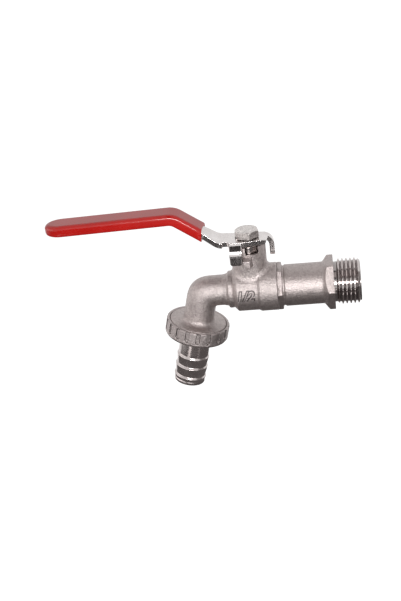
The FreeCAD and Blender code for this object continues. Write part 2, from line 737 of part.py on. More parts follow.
def make_lever_plate():
    """Steel strip bent up to the grip, with one ear bent down at its front end and one at its side."""
    part = body("lever_plate")
    profile = outline(sketch(part, "lever_side", "XZ_Plane"), [
        ("ear_inner_reach", "front_ear_bottom"),
        ("ear_outer_reach", "front_ear_bottom"),
        *bend(("ear_outer_reach", "lever_top"), "ear_bend_radius + lever_thickness",
              "90", "90", "180", "left"),
        *bend(("-lever_rise_start", "lever_top"), "lever_bend_radius", "lever_rise_angle",
              "180", "180 - lever_rise_angle", "right"),
        *crest_top("0"),
        ("-lever_reach", "lever_end_height"),
        ("-lever_reach", "lever_end_height - lever_thickness / cos(lever_droop_angle)"),
        *crest_underside("0"),
        *bend(("-lever_rise_start - foot_offset", "lever_underside"), "lever_outer_bend",
              "lever_rise_angle", "-lever_rise_angle", "0", "left"),
        *bend(("ear_inner_reach", "lever_underside"), "ear_bend_radius", "90", "0", "-90", "right"),
    ])
    strip = feature(part, "Pad", "strip", profile, Length="2 * lever_base_half_width")
    strip.SideType = "Symmetric"

    side_ear = outline(sketch(part, "side_ear_outline", "YZ_Plane", shift=("0", "0", "-side_ear_left")), [
        ("-lever_front_half_width", "lever_top"),
        ("-lever_front_half_width", "lever_underside"),
        ("-side_ear_reach + side_ear_bend_radius", "lever_underside", "side_ear_bend_radius", "left"),
        ("-side_ear_reach", "lever_underside - side_ear_bend_radius"),
        ("-side_ear_reach", "side_ear_bottom"),
        ("-side_ear_outer", "side_ear_bottom"),
        ("-side_ear_outer", "lever_underside - side_ear_bend_radius",
         "side_ear_bend_radius + lever_thickness", "right"),
        ("-side_ear_reach + side_ear_bend_radius", "lever_top"),
    ])

    blank = sketch(part, "blank_outline", "XY_Plane")
    outline(blank, [
        ("lever_front_reach", "-lever_front_half_width"),
        ("lever_front_reach", "ear_front"),
        ("2 * ear_outer_reach", "ear_front"),
        ("2 * ear_outer_reach", "ear_back"),
        ("lever_front_reach", "ear_back"),
        ("-lever_rise_start", "lever_base_half_width"),
        ("-lever_neck_reach", "lever_grip_width / 2"),
        ("-lever_reach + lever_tip_radius", "lever_grip_width / 2", "lever_tip_radius", "left"),
        ("-lever_reach", "lever_grip_width / 2 - lever_tip_radius"),
        ("-lever_reach", "-lever_grip_width / 2 + lever_tip_radius", "lever_tip_radius", "left"),
        ("-lever_reach + lever_tip_radius", "-lever_grip_width / 2"),
        ("-lever_neck_reach", "-lever_grip_width / 2"),
        ("-lever_rise_start", "-lever_base_half_width"),
        ("-notch_left", "-lever_base_half_width"),
        ("-notch_left", "-lever_base_half_width + notch_depth"),
        ("-side_ear_left", "-lever_base_half_width + notch_depth"),
        ("-side_ear_left", "-side_ear_reach + side_ear_bend_radius"),
        ("-side_ear_right", "-side_ear_reach + side_ear_bend_radius"),
    ])
    outline(blank, [
        ("-2 * lever_reach", "-lever_reach"),
        ("2 * lever_reach", "-lever_reach"),
        ("2 * lever_reach", "lever_reach"),
        ("-2 * lever_reach", "lever_reach"),
    ])
    trim = feature(part, "Pocket", "blank_trim", blank, Length="4 * lever_crest_height")
    trim.SideType = "Symmetric"
    bent = feature(part, "Pad", "side_ear", side_ear, Length="side_ear_left - side_ear_right")
    round_edges(part, "ear_corners", bent, "ear_corner_radius", lambda edge:
                (along(edge, "x") and near(edge, z="front_ear_bottom"))
                or (along(edge, "y") and near(edge, z="side_ear_bottom")))
    hole = outline(sketch(part, "stem_hole", "XY_Plane"), [
        ("-stem_flat_half_chord", "-stem_flats / 2 - part_clearance"),
        ("stem_flat_half_chord", "-stem_flats / 2 - part_clearance",
         "stem_dia / 2 + part_clearance", "left"),
        ("stem_flat_half_chord", "stem_flats / 2 + part_clearance"),
        ("-stem_flat_half_chord", "stem_flats / 2 + part_clearance",
         "stem_dia / 2 + part_clearance", "left"),
    ])
    cut = feature(part, "Pocket", "stem_hole_cut", hole, Length="4 * lever_top")
    cut.SideType = "Symmetric"
    return at_stem(part)


def sleeve_side(drawn, wall, end_wall, top_start, low_start):
    """The sleeve's side outline round the lever, this much outside the steel."""
    return outline(drawn, [
        ("-lever_rise_start - (%s) * cos(lever_rise_angle) + (%s) * sin(lever_rise_angle)"
         % (top_start, wall),
         "lever_top + (%s) * sin(lever_rise_angle) + (%s) * cos(lever_rise_angle)" % (top_start, wall)),
        *crest_top(wall),
        ("-lever_reach - (%s) * cos(lever_droop_angle) - (%s) * sin(lever_droop_angle)"
         % (end_wall, wall),
         "lever_end_height - (%s) * sin(lever_droop_angle) + (%s) * cos(lever_droop_angle)"
         % (end_wall, wall)),
        ("-lever_reach - (%s) * cos(lever_droop_angle) + (lever_thickness + (%s)) * sin(lever_droop_angle)"
         % (end_wall, wall),
         "lever_end_height - (%s) * sin(lever_droop_angle)"
         " - (lever_thickness + (%s)) * cos(lever_droop_angle)" % (end_wall, wall)),
        *crest_underside(wall),
        ("-lever_rise_start - (%s) * cos(lever_rise_angle)"
         " - (lever_thickness + (%s)) * sin(lever_rise_angle)" % (low_start, wall),
         "lever_top + (%s) * sin(lever_rise_angle)"
         " - (lever_thickness + (%s)) * cos(lever_rise_angle)" % (low_start, wall)),
    ])


def make_grip_sleeve():
    """Plastic sleeve, open at its lower end, round the lever's steel."""
    part = body("grip_sleeve")
    side = sketch(part, "sleeve_outline", "XZ_Plane")
    sleeve_side(side, "sleeve_wall", "sleeve_end_wall", "sleeve_start", "sleeve_start - sleeve_start_slant")
    block = feature(part, "Pad", "sleeve_block", side, Length="lever_grip_width + 2 * sleeve_side_wall")
    block.SideType = "Symmetric"
    tip = round_edges(part, "sleeve_tip", block, "sleeve_tip_radius", lambda edge:
                      edge.BoundBox.XMax < number("-lever_reach")
                      and edge.BoundBox.YLength < number("part_clearance"))
    round_edges(part, "sleeve_edges", tip, "sleeve_edge_radius", lambda edge:
                edge.BoundBox.YLength < number("part_clearance")
                and edge.BoundBox.XLength > number("sleeve_start_slant"))
    cavity = sketch(part, "sleeve_cavity", "XZ_Plane")
    sleeve_side(cavity, "part_clearance", "part_clearance + lever_thickness * sin(lever_droop_angle)",
                "0", "0")
    cut = feature(part, "Pocket", "cavity_cut", cavity, Length="lever_grip_width + 2 * part_clearance")
    cut.SideType = "Symmetric"
    return at_stem(part)


def make_lever_bolt():
    """Hexagon-head bolt with a chamfered head."""
    part = body("lever_bolt")
    shank = circle(sketch(part, "shank_outline", "XY_Plane",
                          shift=("0", "0", "lever_top + washer_thickness - bolt_length")), "bolt_dia / 2")
    feature(part, "Pad", "shank", shank, Length="bolt_length")
    head = sketch(part, "bolt_hexagon", "XY_Plane", shift=("0", "0", "lever_top + washer_thickness"))
    hexagon(head, "bolt_flats", "bolt_turn")
    feature(part, "Pad", "head", head, Length="bolt_head_height")
    top = "lever_top + washer_thickness + bolt_head_height"
    corner = outline(sketch(part, "head_chamfer", "XZ_Plane"), [
        ("bolt_top_dia / 2", top),
        ("bolt_flats / sqrt(3)", top + " - bolt_corner_drop"),
        ("bolt_flats", top + " - bolt_corner_drop"),
        ("bolt_flats", top),
    ])
    spin(part, "Groove", "head_chamfer_cut", corner, "V_Axis")
    return at_stem(part)


def make_bolt_washer():
    part = body("bolt_washer")
    ring(part, "washer_bore_dia / 2", "washer_dia / 2", "lever_top", "lever_top + washer_thickness")
    return at_stem(part)


def make_union_nut():
    """Ring nut: thread round the boss, a lip under the hose tail's flange, grooves between its pads."""
    part = body("union_nut")
    bore = "outlet_thread_dia / 2 + nut_thread_clearance"
    turned = outline(sketch(part, "nut_outline", "XZ_Plane"), [
        (bore, "-nut_lip_top"),
        ("tail_tube_dia / 2 + nut_lip_clearance", "-nut_lip_top"),
        ("tail_tube_dia / 2 + nut_lip_clearance", "-nut_bottom"),
        ("nut_dia / 2 - nut_edge_inset", "-nut_bottom"),
        ("nut_dia / 2", "-nut_bottom + nut_edge_drop"),
        ("nut_dia / 2", "-nut_top - nut_rim_chamfer"),
        ("nut_dia / 2 - nut_rim_chamfer", "-nut_top"),
        (bore + " + nut_lead_in", "-nut_top"),
        (bore, "-nut_top - nut_lead_in"),
    ])
    spin(part, "Revolution", "nut_turned", turned, "V_Axis")
    groove = outline(sketch(part, "nut_groove", "XZ_Plane"), [
        ("-nut_groove_width / 2", "-nut_bottom + nut_groove_floor + nut_groove_width / 2",
         "nut_groove_width / 2", "left"),
        ("0", "-nut_bottom + nut_groove_floor", "nut_groove_width / 2", "left"),
        ("nut_groove_width / 2", "-nut_bottom + nut_groove_floor + nut_groove_width / 2"),
        ("nut_groove_width / 2", "-nut_top - nut_groove_top"),
        ("-nut_groove_width / 2", "-nut_top - nut_groove_top"),
    ])
    groove.AttachmentOffset = FreeCAD.Placement(
        FreeCAD.Vector(0, 0, number("nut_dia / 2 - nut_groove_depth")), FreeCAD.Rotation())
    groove.setExpression(".AttachmentOffset.Base.z", linked("nut_dia / 2 - nut_groove_depth"))
    cut = feature(part, "Pocket", "groove_cut", groove, Length="2 * nut_groove_depth")
    cut.Reversed = True
    document.recompute()
    pattern = part.newObject("PartDesign::PolarPattern", "grooves")
    pattern.Originals = [cut]
    pattern.Axis = ([each for each in part.Origin.OriginFeatures if each.Role == "Z_Axis"][0], [""])
    pattern.Angle = 360
    pattern.Occurrences = int(number("nut_pads"))
    pattern.setExpression("Occurrences", linked("nut_pads"))
    part.Tip = pattern
    return at_spout(part)


def make_tail_gasket():
    part = body("tail_gasket")
    ring(part, "gasket_bore_dia / 2", "gasket_dia / 2", "-flange_top", "-boss_bottom")
    return at_spout(part)


def make_hose_tail():
    """Flange held by the nut's lip, plain tube and three barbs."""
    part = body("hose_tail")
    corners = [
        ("tail_bore_dia / 2", "-flange_top"),
        ("tail_bore_dia / 2", "-tail_end"),
        ("tail_end_dia / 2 - tail_end_chamfer", "-tail_end"),
        ("tail_end_dia / 2", "-tail_end + tail_end_chamfer"),
    ]
    for barb in (2, 1, 0):
        shoulder = "barb_first + %d * barb_pitch" % barb
        above = "tail_tube_dia / 2" if barb == 0 else "barb_root_dia / 2"
        corners.append(("barb_dia / 2", "-(%s) - barb_shoulder" % shoulder))
        corners.append((above, "-(%s)" % shoulder))
    corners += [
        ("tail_tube_dia / 2", "-nut_lip_top"),
        ("tail_flange_dia / 2", "-nut_lip_top"),
        ("tail_flange_dia / 2", "-flange_top"),
    ]
    spin(part, "Revolution", "tail_turned", outline(sketch(part, "tail_outline", "XZ_Plane"), corners),
         "V_Axis")
    return at_spout(part)


pieces = [
    make_valve_body(),
    make_inlet_adapter(),
    make_joint_seal_ring(),
    make_seat_ring("seat_ring_inlet", ""),
    make_seat_ring("seat_ring_outlet", "-"),
    make_ball(),
    make_stem(),
    *make_stem_rings(),
    make_gland_nut(),
    make_lever_plate(),
    make_grip_sleeve(),
    make_lever_bolt(),
    make_bolt_washer(),
    make_union_nut(),
    make_tail_gasket(),
    make_hose_tail(),
]
document.recompute()

for each in document.Objects:
    if "Invalid" in each.State or "Error" in each.State:
        raise RuntimeError("%s is %s" % (each.Name, each.State))
os.makedirs("parts", exist_ok=True)
for piece in pieces:
    shape = piece.Shape
    if shape.isNull() or not shape.isValid() or len(shape.Solids) != 1:
        raise RuntimeError("%s has no single valid solid" % piece.Label)
    shape.exportStep("parts/%s.step" % piece.Label)
    print("%s %.1f mm3" % (piece.Label, shape.Volume))
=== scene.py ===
import bpy
import bmesh
import math
import numpy as np
from mathutils import Matrix, Vector


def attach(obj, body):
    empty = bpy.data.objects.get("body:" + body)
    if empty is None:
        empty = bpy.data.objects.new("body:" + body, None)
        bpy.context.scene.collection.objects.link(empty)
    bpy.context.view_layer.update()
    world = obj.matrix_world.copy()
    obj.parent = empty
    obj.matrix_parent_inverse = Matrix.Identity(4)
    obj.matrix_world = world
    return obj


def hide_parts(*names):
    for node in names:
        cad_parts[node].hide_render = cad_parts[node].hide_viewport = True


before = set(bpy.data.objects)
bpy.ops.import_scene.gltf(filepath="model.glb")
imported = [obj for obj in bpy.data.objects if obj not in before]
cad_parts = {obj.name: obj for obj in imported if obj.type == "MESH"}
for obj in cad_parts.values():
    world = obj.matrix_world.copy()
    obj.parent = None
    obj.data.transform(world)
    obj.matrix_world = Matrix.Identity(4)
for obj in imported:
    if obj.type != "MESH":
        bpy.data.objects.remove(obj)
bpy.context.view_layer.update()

# Sizes below are millimetres in the tap's own frame; they become metres when a mesh is made.
mm = 0.001
thin = 0.01     # radius at which a turned piece is closed by a fan
tapAxes = {"stemX": -37.8, "spoutX": -60.6, "spoutTilt": math.radians(14)}  # spoutX is the elbow's corner


# surfaces

def onStem(points):
    # shift from the stem's axis to the tap's frame
    return points + np.array([tapAxes["stemX"], 0, 0])


def onSpout(across, side, down):
    # across leans with the spout towards +X, side is Y, down runs along the spout's axis
    c, s = math.cos(tapAxes["spoutTilt"]), math.sin(tapAxes["spoutTilt"])
    return np.stack([tapAxes["spoutX"] + across * c - down * s, side, -across * s - down * c], -1)


def fullTurn(columns):
    # equally spaced angles of one turn
    return np.arange(columns) * 2 * math.pi / columns


def roundedLine(corners, steps=5, most=0.49):
    # a polyline of (a, b, radius) corners, where an arc tangent to both sides replaces each corner and
    # leaves no more than this share out of a side
    pts = np.array([each[:2] for each in corners], float)
    line = [pts[:1]]
    for i in range(1, len(pts) - 1):
        radius = corners[i][2] if len(corners[i]) > 2 else 0
        before, after = pts[i - 1] - pts[i], pts[i + 1] - pts[i]
        lb, la = np.linalg.norm(before), np.linalg.norm(after)
        before, after = before / lb, after / la
        half = math.acos(max(-1, min(1, float(before @ after)))) / 2
        if radius <= 0 or half > 1.56:
            line.append(pts[i:i + 1])
            continue
        reach = min(radius / math.tan(half), most * lb, most * la)
        radius = reach * math.tan(half)
        centre = pts[i] + (before + after) / np.linalg.norm(before + after) * radius / math.sin(half)
        start, end = pts[i] + before * reach - centre, pts[i] + after * reach - centre
        # from start to end about the centre, in equal steps of angle
        sweep = math.pi - 2 * half
        t = np.linspace(0, 1, steps + 1)[:, None]
        line.append(centre + (np.sin((1 - t) * sweep) * start + np.sin(t * sweep) * end) / math.sin(sweep))
    line.append(pts[-1:])
    return np.concatenate(line)


def densified(profile, spacing):
    # extra points so that no step along the profile is longer than the spacing
    out = [profile[:1]]
    for a, b in zip(profile[:-1], profile[1:]):
        n = max(1, int(np.ceil(np.linalg.norm(b - a) / spacing)))
        out.append(a + (b - a) * (np.arange(1, n + 1) / n)[:, None])
    return np.concatenate(out)


def gridFaces(rows, columns, closeRows=False):
    # quads between neighbouring rows of a grid of points whose columns go all the way round
    r = np.arange(rows if closeRows else rows - 1)
    r, c = np.meshgrid(r, np.arange(columns), indexing="ij")
    r2, c2 = (r + 1) % rows, (c + 1) % columns
    quads = np.stack([r * columns + c, r * columns + c2, r2 * columns + c2, r2 * columns + c], -1)
    return quads.reshape(-1, 4)


def addObject(name, data):
    made = bpy.data.objects.new(name, data)
    bpy.context.scene.collection.objects.link(made)
    return made


def makeMesh(name, points, faces, look, sharp):
    # points in millimetres; faces turned so that the enclosed volume is positive
    points = np.asarray(points, float) * mm
    faces = [np.asarray(each) for each in faces]
    volume = 0.0
    for group in faces:
        a = points[group[:, 0]]
        for k in range(1, group.shape[1] - 1):
            volume += np.einsum("ij,ij->", a, np.cross(points[group[:, k]], points[group[:, k + 1]]))
    if volume < 0:
        faces = [group[:, ::-1] for group in faces]
    mesh = bpy.data.meshes.new(name)
    mesh.from_pydata(points.tolist(), [], [face for group in faces for face in group.tolist()])
    mesh.update()
    piece = addObject(name, mesh)
    finishMesh(piece, look, sharp)
    return piece


def finishMesh(piece, look, sharp):
    mesh = piece.data
    mesh.materials.clear()
    mesh.materials.append(finish[look])
    mesh.polygons.foreach_set("material_index", np.zeros(len(mesh.polygons), np.int32))
    mesh.shade_smooth()
    mesh.set_sharp_from_angle(angle=math.radians(sharp))
    mesh.update()


def ringMesh(name, rings, look, closeRows=False, sharp=32):
    # rings: rows x columns x 3. An open stack gets a fan at each end, round the ring's centre
    rows, columns = rings.shape[:2]
    points = rings.reshape(-1, 3)
    faces = [gridFaces(rows, columns, closeRows)]
    if not closeRows:
        centres = np.stack([rings[0].mean(0), rings[-1].mean(0)])
        points = np.concatenate([points, centres])
        c = np.arange(columns)
        c2 = (c + 1) % columns
        first, last = rows * columns, rows * columns + 1
        faces.append(np.stack([c2, c, np.full(columns, first)], -1))
        base = (rows - 1) * columns
        faces.append(np.stack([base + c, base + c2, np.full(columns, last)], -1))
    return makeMesh(name, points, faces, look, sharp)


def stripMesh(name, rings, look, sharp=32):
    # a strip's rings close by joining each point to its mirror across the strip's width
    rows, columns = rings.shape[:2]
    points = rings.reshape(-1, 3)
    faces = [gridFaces(rows, columns)]
    half = columns // 2
    j = np.arange(half - 1)
    k = columns - 1 - j
    ends = np.stack([j, k, k - 1, j + 1], -1)
    faces += [ends, (ends + (rows - 1) * columns)[:, ::-1]]
    return makeMesh(name, points, faces, look, sharp)


def joinMeshes(piece, others, operation):
    # boolean with each of the others, which are then removed
    for other in others:
        cut = piece.modifiers.new("cut", "BOOLEAN")
        cut.operation = operation
        cut.object = other
        cut.solver = "MANIFOLD"
    bpy.context.view_layer.update()
    mesh = bpy.data.meshes.new_from_object(piece.evaluated_get(bpy.context.evaluated_depsgraph_get()))
    if len(mesh.polygons) == 0:
        raise RuntimeError("empty boolean on " + piece.name)
    piece.modifiers.clear()
    old = piece.data
    piece.data = mesh
    mesh.name = old.name
    bpy.data.meshes.remove(old)
    for other in others:
        data = other.data
        bpy.data.objects.remove(other)
        bpy.data.meshes.remove(data)


def lathe(rows, columns, about):
    # rows of (along, radius), each a number or an array over the turn; about sets the axis
    turn = fullTurn(columns)
    along, radius = (np.stack([each[k] + 0 * turn for each in rows]) for k in (0, 1))
    return about(radius * np.cos(turn), radius * np.sin(turn), along)


def aboutBarrel(across, side, along):
    return np.stack([along, across, side], -1)


def aboutStem(across, side, up):
    return onStem(np.stack([across, side, up], -1))


# materials

def nodesIn(tree):
    # a short way to add nodes to an emptied tree: inputs are constants or sockets to link from
    tree.nodes.clear()

    def node(kind, inputs=None, **settings):
        made = tree.nodes.new(kind)
        for key, value in settings.items():
            setattr(made, key, value)
        for key, value in (inputs or {}).items():
            if isinstance(value, bpy.types.NodeSocket):
                tree.links.new(value, made.inputs[key])
            else:
                made.inputs[key].default_value = value
        return made
    return node


def newMaterial(name):
    material = bpy.data.materials.new(name)
    material.use_nodes = True
    return material, nodesIn(material.node_tree)


def combined(node, first, second, operation):
    return node("ShaderNodeMath", {0: first, 1: second}, operation=operation).outputs[0]


def noise(node, coords, scale, detail, roughness=0.5):
    return node("ShaderNodeTexNoise", {"Vector": coords, "Scale": scale, "Detail": detail,
                                       "Roughness": roughness}).outputs["Fac"]


def stretched(node, coords, place, turn, scale):
    # coordinates moved to place, turned about Y and then scaled per axis
    moved = node("ShaderNodeVectorMath", {0: coords, 1: place}, operation="SUBTRACT").outputs[0]
    turned = node("ShaderNodeVectorRotate", {"Vector": moved, "Axis": (0, 1, 0), "Angle": turn},
                  rotation_type="AXIS_ANGLE").outputs[0]
    return node("ShaderNodeVectorMath", {0: turned, 1: scale}, operation="MULTIPLY").outputs[0]


def ramp(node, value, low, high, first, second):
    # value from low..high mapped to first..second, clamped
    return node("ShaderNodeMapRange", {"Value": value, "From Min": low, "From Max": high,
                                       "To Min": first, "To Max": second}).outputs[0]


def mixed(node, share, look):
    return node("ShaderNodeMix", {0: share, 6: (*look["dark"], 1), 7: (*look["light"], 1)},
                data_type="RGBA").outputs[2]


def dimmed(node, tint, factor):
    return node("ShaderNodeVectorMath", {0: tint, 3: factor}, operation="SCALE").outputs[0]


def bumped(node, height, bump, under=None):
    # bump is (strength, depth in metres); under is the normal that it lies on
    inputs = {"Height": height, "Strength": bump[0], "Distance": bump[1]}
    if under is not None:
        inputs["Normal"] = under
    return node("ShaderNodeBump", inputs).outputs[0]


def shadeFactor(node, coords, shade):
    # painted shade: darker where the distance from an axis lies between two radii, and along it between two
    # places, as in thread roots, slots and round the foot of raised strokes
    def between(scale, low, high, soft):
        drawn = stretched(node, coords, shade["place"], shade["turn"], scale)
        value = node("ShaderNodeVectorMath", {0: drawn}, operation="LENGTH").outputs["Value"]
        rising = ramp(node, value, low - soft, low + soft, 0.0, 1.0)
        falling = ramp(node, value, high - soft, high + soft, 1.0, 0.0)
        return combined(node, rising, falling, "MULTIPLY")

    inside = between(shade["across"], *shade["radii"])
    if "ends" in shade:
        inside = combined(node, inside, between(shade["along"], *shade["ends"]), "MULTIPLY")
    return ramp(node, inside, 0.0, 1.0, 1.0, shade["factor"])


def metalMaterial(name, look):
    # base tint with mottling, grain bump, stains in roughness, optional bands of painted shade and turned
    # lines
    material, node = newMaterial(name)
    coords = node("ShaderNodeTexCoord").outputs["Object"]
    mottle = noise(node, coords, look["mottle"], 3.0, 0.6)
    grain = noise(node, coords, look["grain"], 2.5, 0.65)
    speck = ramp(node, grain, 0.36, 0.62, look["pit"], 2 - look["pit"])
    tint = dimmed(node, mixed(node, ramp(node, mottle, 0.3, 0.7, 0.0, 1.0), look), speck)
    # painted shade: a darker tint in recesses, where shade falls
    if "shade" in look:
        tint = dimmed(node, tint, shadeFactor(node, coords, look["shade"]))
    rough = ramp(node, mottle, 0.3, 0.7, *look["rough"])
    bump = bumped(node, grain, look["bump"])
    if "lines" in look:
        lines = look["lines"]
        drawn = stretched(node, coords, lines["place"], lines["turn"], lines["scale"])
        bump = bumped(node, noise(node, drawn, 1.0, 2.0, 0.6), lines["bump"], bump)
    shader = node("ShaderNodeBsdfPrincipled", {"Base Color": tint, "Metallic": 1.0, "Roughness": rough,
                                               "Normal": bump})
    node("ShaderNodeOutputMaterial", {0: shader.outputs[0]})
    return material


def softMaterial(name, look):
    # plastic and rubber: tint with faint clouding, fine skin bump, uneven gloss
    material, node = newMaterial(name)
    coords = node("ShaderNodeTexCoord").outputs["Object"]
    cloud = noise(node, coords, look["cloud"], 3.0)
    tint = mixed(node, ramp(node, cloud, 0.35, 0.65, 0.0, 1.0), look)
    rough = ramp(node, cloud, 0.3, 0.7, *look["rough"])
    bump = bumped(node, noise(node, coords, look["skin"], 2.0), look["bump"])
    shader = node("ShaderNodeBsdfPrincipled", {"Base Color": tint, "Roughness": rough, "Normal": bump,
                                               "Specular IOR Level": look["specular"]})
    node("ShaderNodeOutputMaterial", {0: shader.outputs[0]})
    return material


# scales are per metre; rough is (lowest, highest), bump is (strength, depth in metres); a shade's radii and
# ends are (from, to, softness) in metres, about an axis through place that leans by turn
spoutAxis = {"place": (tapAxes["spoutX"] * mm, 0, 0), "turn": -tapAxes["spoutTilt"]}
barrelAxis = {"place": (0, 0, 0), "turn": 0.0, "across": (0, 1, 1)}
castLook = {"dark": (0.35, 0.308, 0.30), "light": (0.50, 0.447, 0.434), "mottle": 800, "grain": 1800,
            "pit": 0.9, "rough": (0.42, 0.5), "bump": (0.8, 0.00036)}
# the numerals' shade darkens their lower side walls: painted shade at the strokes' bases
numeralLook = dict(castLook, shade=dict(barrelAxis, radii=(0.009, 0.0108, 0.00006), factor=0.3))
boltLook = {"dark": (0.50, 0.465, 0.45), "light": (0.66, 0.62, 0.60), "mottle": 700, "grain": 1700,
            "pit": 0.75, "rough": (0.27, 0.33), "bump": (0.12, 0.0001)}
metalLooks = {
    "castNickel": castLook,
    "barrelNickel": {"dark": (0.335, 0.294, 0.285), "light": (0.45, 0.397, 0.386), "mottle": 900,
                     "grain": 1900, "pit": 0.9, "rough": (0.4, 0.47), "bump": (0.8, 0.00026)},
    "threadNickel": {"dark": (0.50, 0.45, 0.44), "light": (0.60, 0.55, 0.54), "mottle": 300, "grain": 2500,
                     "pit": 0.95, "rough": (0.09, 0.13), "bump": (0.06, 0.00005),
                     # the shade darkens the thread's roots: painted shade in the grooves
                     "shade": dict(barrelAxis, radii=(0.008, 0.00962, 0.00018), factor=0.6)},
    "tailNickel": {"dark": (0.48, 0.43, 0.42), "light": (0.58, 0.53, 0.52), "mottle": 300, "grain": 2500,
                   "pit": 0.95, "rough": (0.17, 0.23), "bump": (0.05, 0.00005),
                   "lines": dict(spoutAxis, scale=(40, 40, 7000), bump=(0.16, 0.00006))},
    "nutNickel": dict(castLook, dark=(0.36, 0.318, 0.31), light=(0.48, 0.43, 0.42),
                      # the shade darkens the grooves' floors and walls: painted shade in the slots
                      shade=dict(spoutAxis, across=(1, 1, 0), along=(0, 0, 1),
                                 radii=(0.01425, 0.01468, 0.00006), ends=(0.0154, 0.0206, 0.0001),
                                 factor=0.3)),
    "numeralNickel": numeralLook,
    # the foot round the numerals is darkened throughout: painted shade
    "numeralShadowNickel": numeralLook,
    "leverSteel": {"dark": (0.60, 0.56, 0.55), "light": (0.72, 0.685, 0.675), "mottle": 150, "grain": 1500,
                   "pit": 0.93, "rough": (0.08, 0.15), "bump": (0.2, 0.00008)},
    "boltSteel": boltLook,
    # a darker copy of the bolt's steel for the washer under the head: painted shade
    "washerShadedSteel": dict(boltLook, dark=(0.1, 0.09, 0.085), light=(0.32, 0.295, 0.285)),
    "glandNickel": {"dark": (0.55, 0.51, 0.49), "light": (0.66, 0.62, 0.60), "mottle": 400, "grain": 2200,
                    "pit": 0.9, "rough": (0.12, 0.22), "bump": (0.08, 0.00005)},
    "bareBrass": {"dark": (0.50, 0.34, 0.12), "light": (0.68, 0.50, 0.22), "mottle": 240, "grain": 2200,
                  "pit": 0.9, "rough": (0.2, 0.32), "bump": (0.08, 0.00005)},
    "ballChrome": {"dark": (0.72, 0.72, 0.73), "light": (0.8, 0.8, 0.81), "mottle": 120, "grain": 3000,
                   "pit": 0.98, "rough": (0.04, 0.08), "bump": (0.02, 0.00003)},
}
softLooks = {
    "gripPlastic": {"dark": (0.42, 0.006, 0.004), "light": (0.49, 0.009, 0.006), "cloud": 60, "skin": 420,
                    "rough": (0.11, 0.16), "bump": (0.03, 0.0003), "specular": 0.5},
    "sealPlastic": {"dark": (0.78, 0.78, 0.76), "light": (0.84, 0.84, 0.82), "cloud": 300, "skin": 2500,
                    "rough": (0.45, 0.55), "bump": (0.08, 0.00005), "specular": 0.4},
    "sealRubber": {"dark": (0.018, 0.018, 0.018), "light": (0.03, 0.03, 0.03), "cloud": 300, "skin": 2500,
                   "rough": (0.5, 0.62), "bump": (0.1, 0.00005), "specular": 0.4},
}
finish = {name: metalMaterial(name, look) for name, look in metalLooks.items()}
finish.update({name: softMaterial(name, look) for name, look in softLooks.items()})
print("materials made")


def place(piece, bodyName, slotName, nodes=()):
    if nodes:
        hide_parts(*nodes)
    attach(piece, bodyName)
    print("made", piece.name, len(piece.data.polygons), "faces")


def turnedPiece(name, rings, look, bodyName, slotName, node, sharp=32):
    # rings that close on themselves
    piece = ringMesh(name, rings, look, closeRows=True, sharp=sharp)
    place(piece, bodyName, slotName, [node])
    return piece


# cast body: one surface swept from the mouth through the elbow to the outlet boss
castBody = {
    # distance from the stem's axis towards the spout, radius, rounding; from the mouth to the tube
    "housing": [(-12, 11.05, 0.35), (-4, 11.05, 0.6), (-2.8, 10.4, 0.8), (6.6, 10.4, 0.7), (8.5, 8.35, 0.5),
                (8.75, 8.6, 0.25), (10.5, 8.6, 0.5), (11.25, 7.55, 0.6), (13.2, 7.1, 2.0)],
    "housingRadius": 10.4, "elbowRadius": 8.6, "elbowFullness": 0.7, "corner": 22.8, "bossTop": 15,
    "footRadius": 2.3, "rimRadius": 13.0, "bossRadius": 13.22, "bossEnd": 19.0, "bossChamfer": 0.8,
    "columns": 160,
}


def elbow():
    # the arc's angle, the length of its tangents and the distance at which it starts
    turn = math.pi / 2 - tapAxes["spoutTilt"]
    tangent = castBody["elbowRadius"] * math.tan(turn / 2)
    return turn, tangent, castBody["corner"] - tangent


def bodyPath(distance):
    # straight along -X, an arc of 76 degrees, then straight down the spout; returns positions, outward
    # normals and the share of the arc
    turn, tangent, arcStart = elbow()
    radius = castBody["elbowRadius"]
    angle = np.clip((distance - arcStart) / radius, 0, turn)
    heading = np.stack([-np.cos(angle), 0 * angle, -np.sin(angle)], -1)
    normal = np.stack([-np.sin(angle), 0 * angle, np.cos(angle)], -1)
    straight = np.minimum(distance, arcStart)
    after = np.maximum(distance - arcStart - radius * turn, 0)
    base = np.array([tangent - castBody["corner"], 0, -radius]) + radius * normal
    base = base + (straight - arcStart)[:, None] * np.array([-1, 0, 0]) + after[:, None] * heading
    return base, normal, angle / turn


def spoutDistance(down):
    # distance along the path of a place that lies this far down the spout from its corner
    turn, tangent, _ = elbow()
    return castBody["corner"] - 2 * tangent + castBody["elbowRadius"] * turn + down


def sweptRings(profile, columns, fullness):
    # circles (ellipses in the elbow) of the profile's radius set square to the path
    base, normal, share = bodyPath(profile[:, 0])
    extra = (fullness * np.sin(math.pi * share) ** 2)[:, None]
    turn = fullTurn(columns)
    radius = profile[:, 1:]
    rings = (base + extra * normal)[:, None] + ((radius + extra) * np.cos(turn))[..., None] * normal[:, None]
    rings[..., 1] += radius * np.sin(turn)
    return onStem(rings)


def bodyRings():
    cb = castBody
    top, end = spoutDistance(cb["bossTop"]), spoutDistance(cb["bossEnd"])
    mouth, tube = cb["housing"][0][0], cb["housing"][-1][1]
    outer = [(mouth, thin)] + cb["housing"] + [
        (top, tube, cb["footRadius"]), (top, cb["rimRadius"], 0.25),
        (spoutDistance(cb["bossTop"] + 0.5), cb["bossRadius"], 0.2),
        (spoutDistance(cb["bossEnd"] - cb["bossChamfer"]), cb["bossRadius"], 0.2),
        (end, cb["bossRadius"] - cb["bossChamfer"], 0.1), (end, thin)]
    return sweptRings(densified(roundedLine(outer), 0.7), cb["columns"], cb["elbowFullness"])


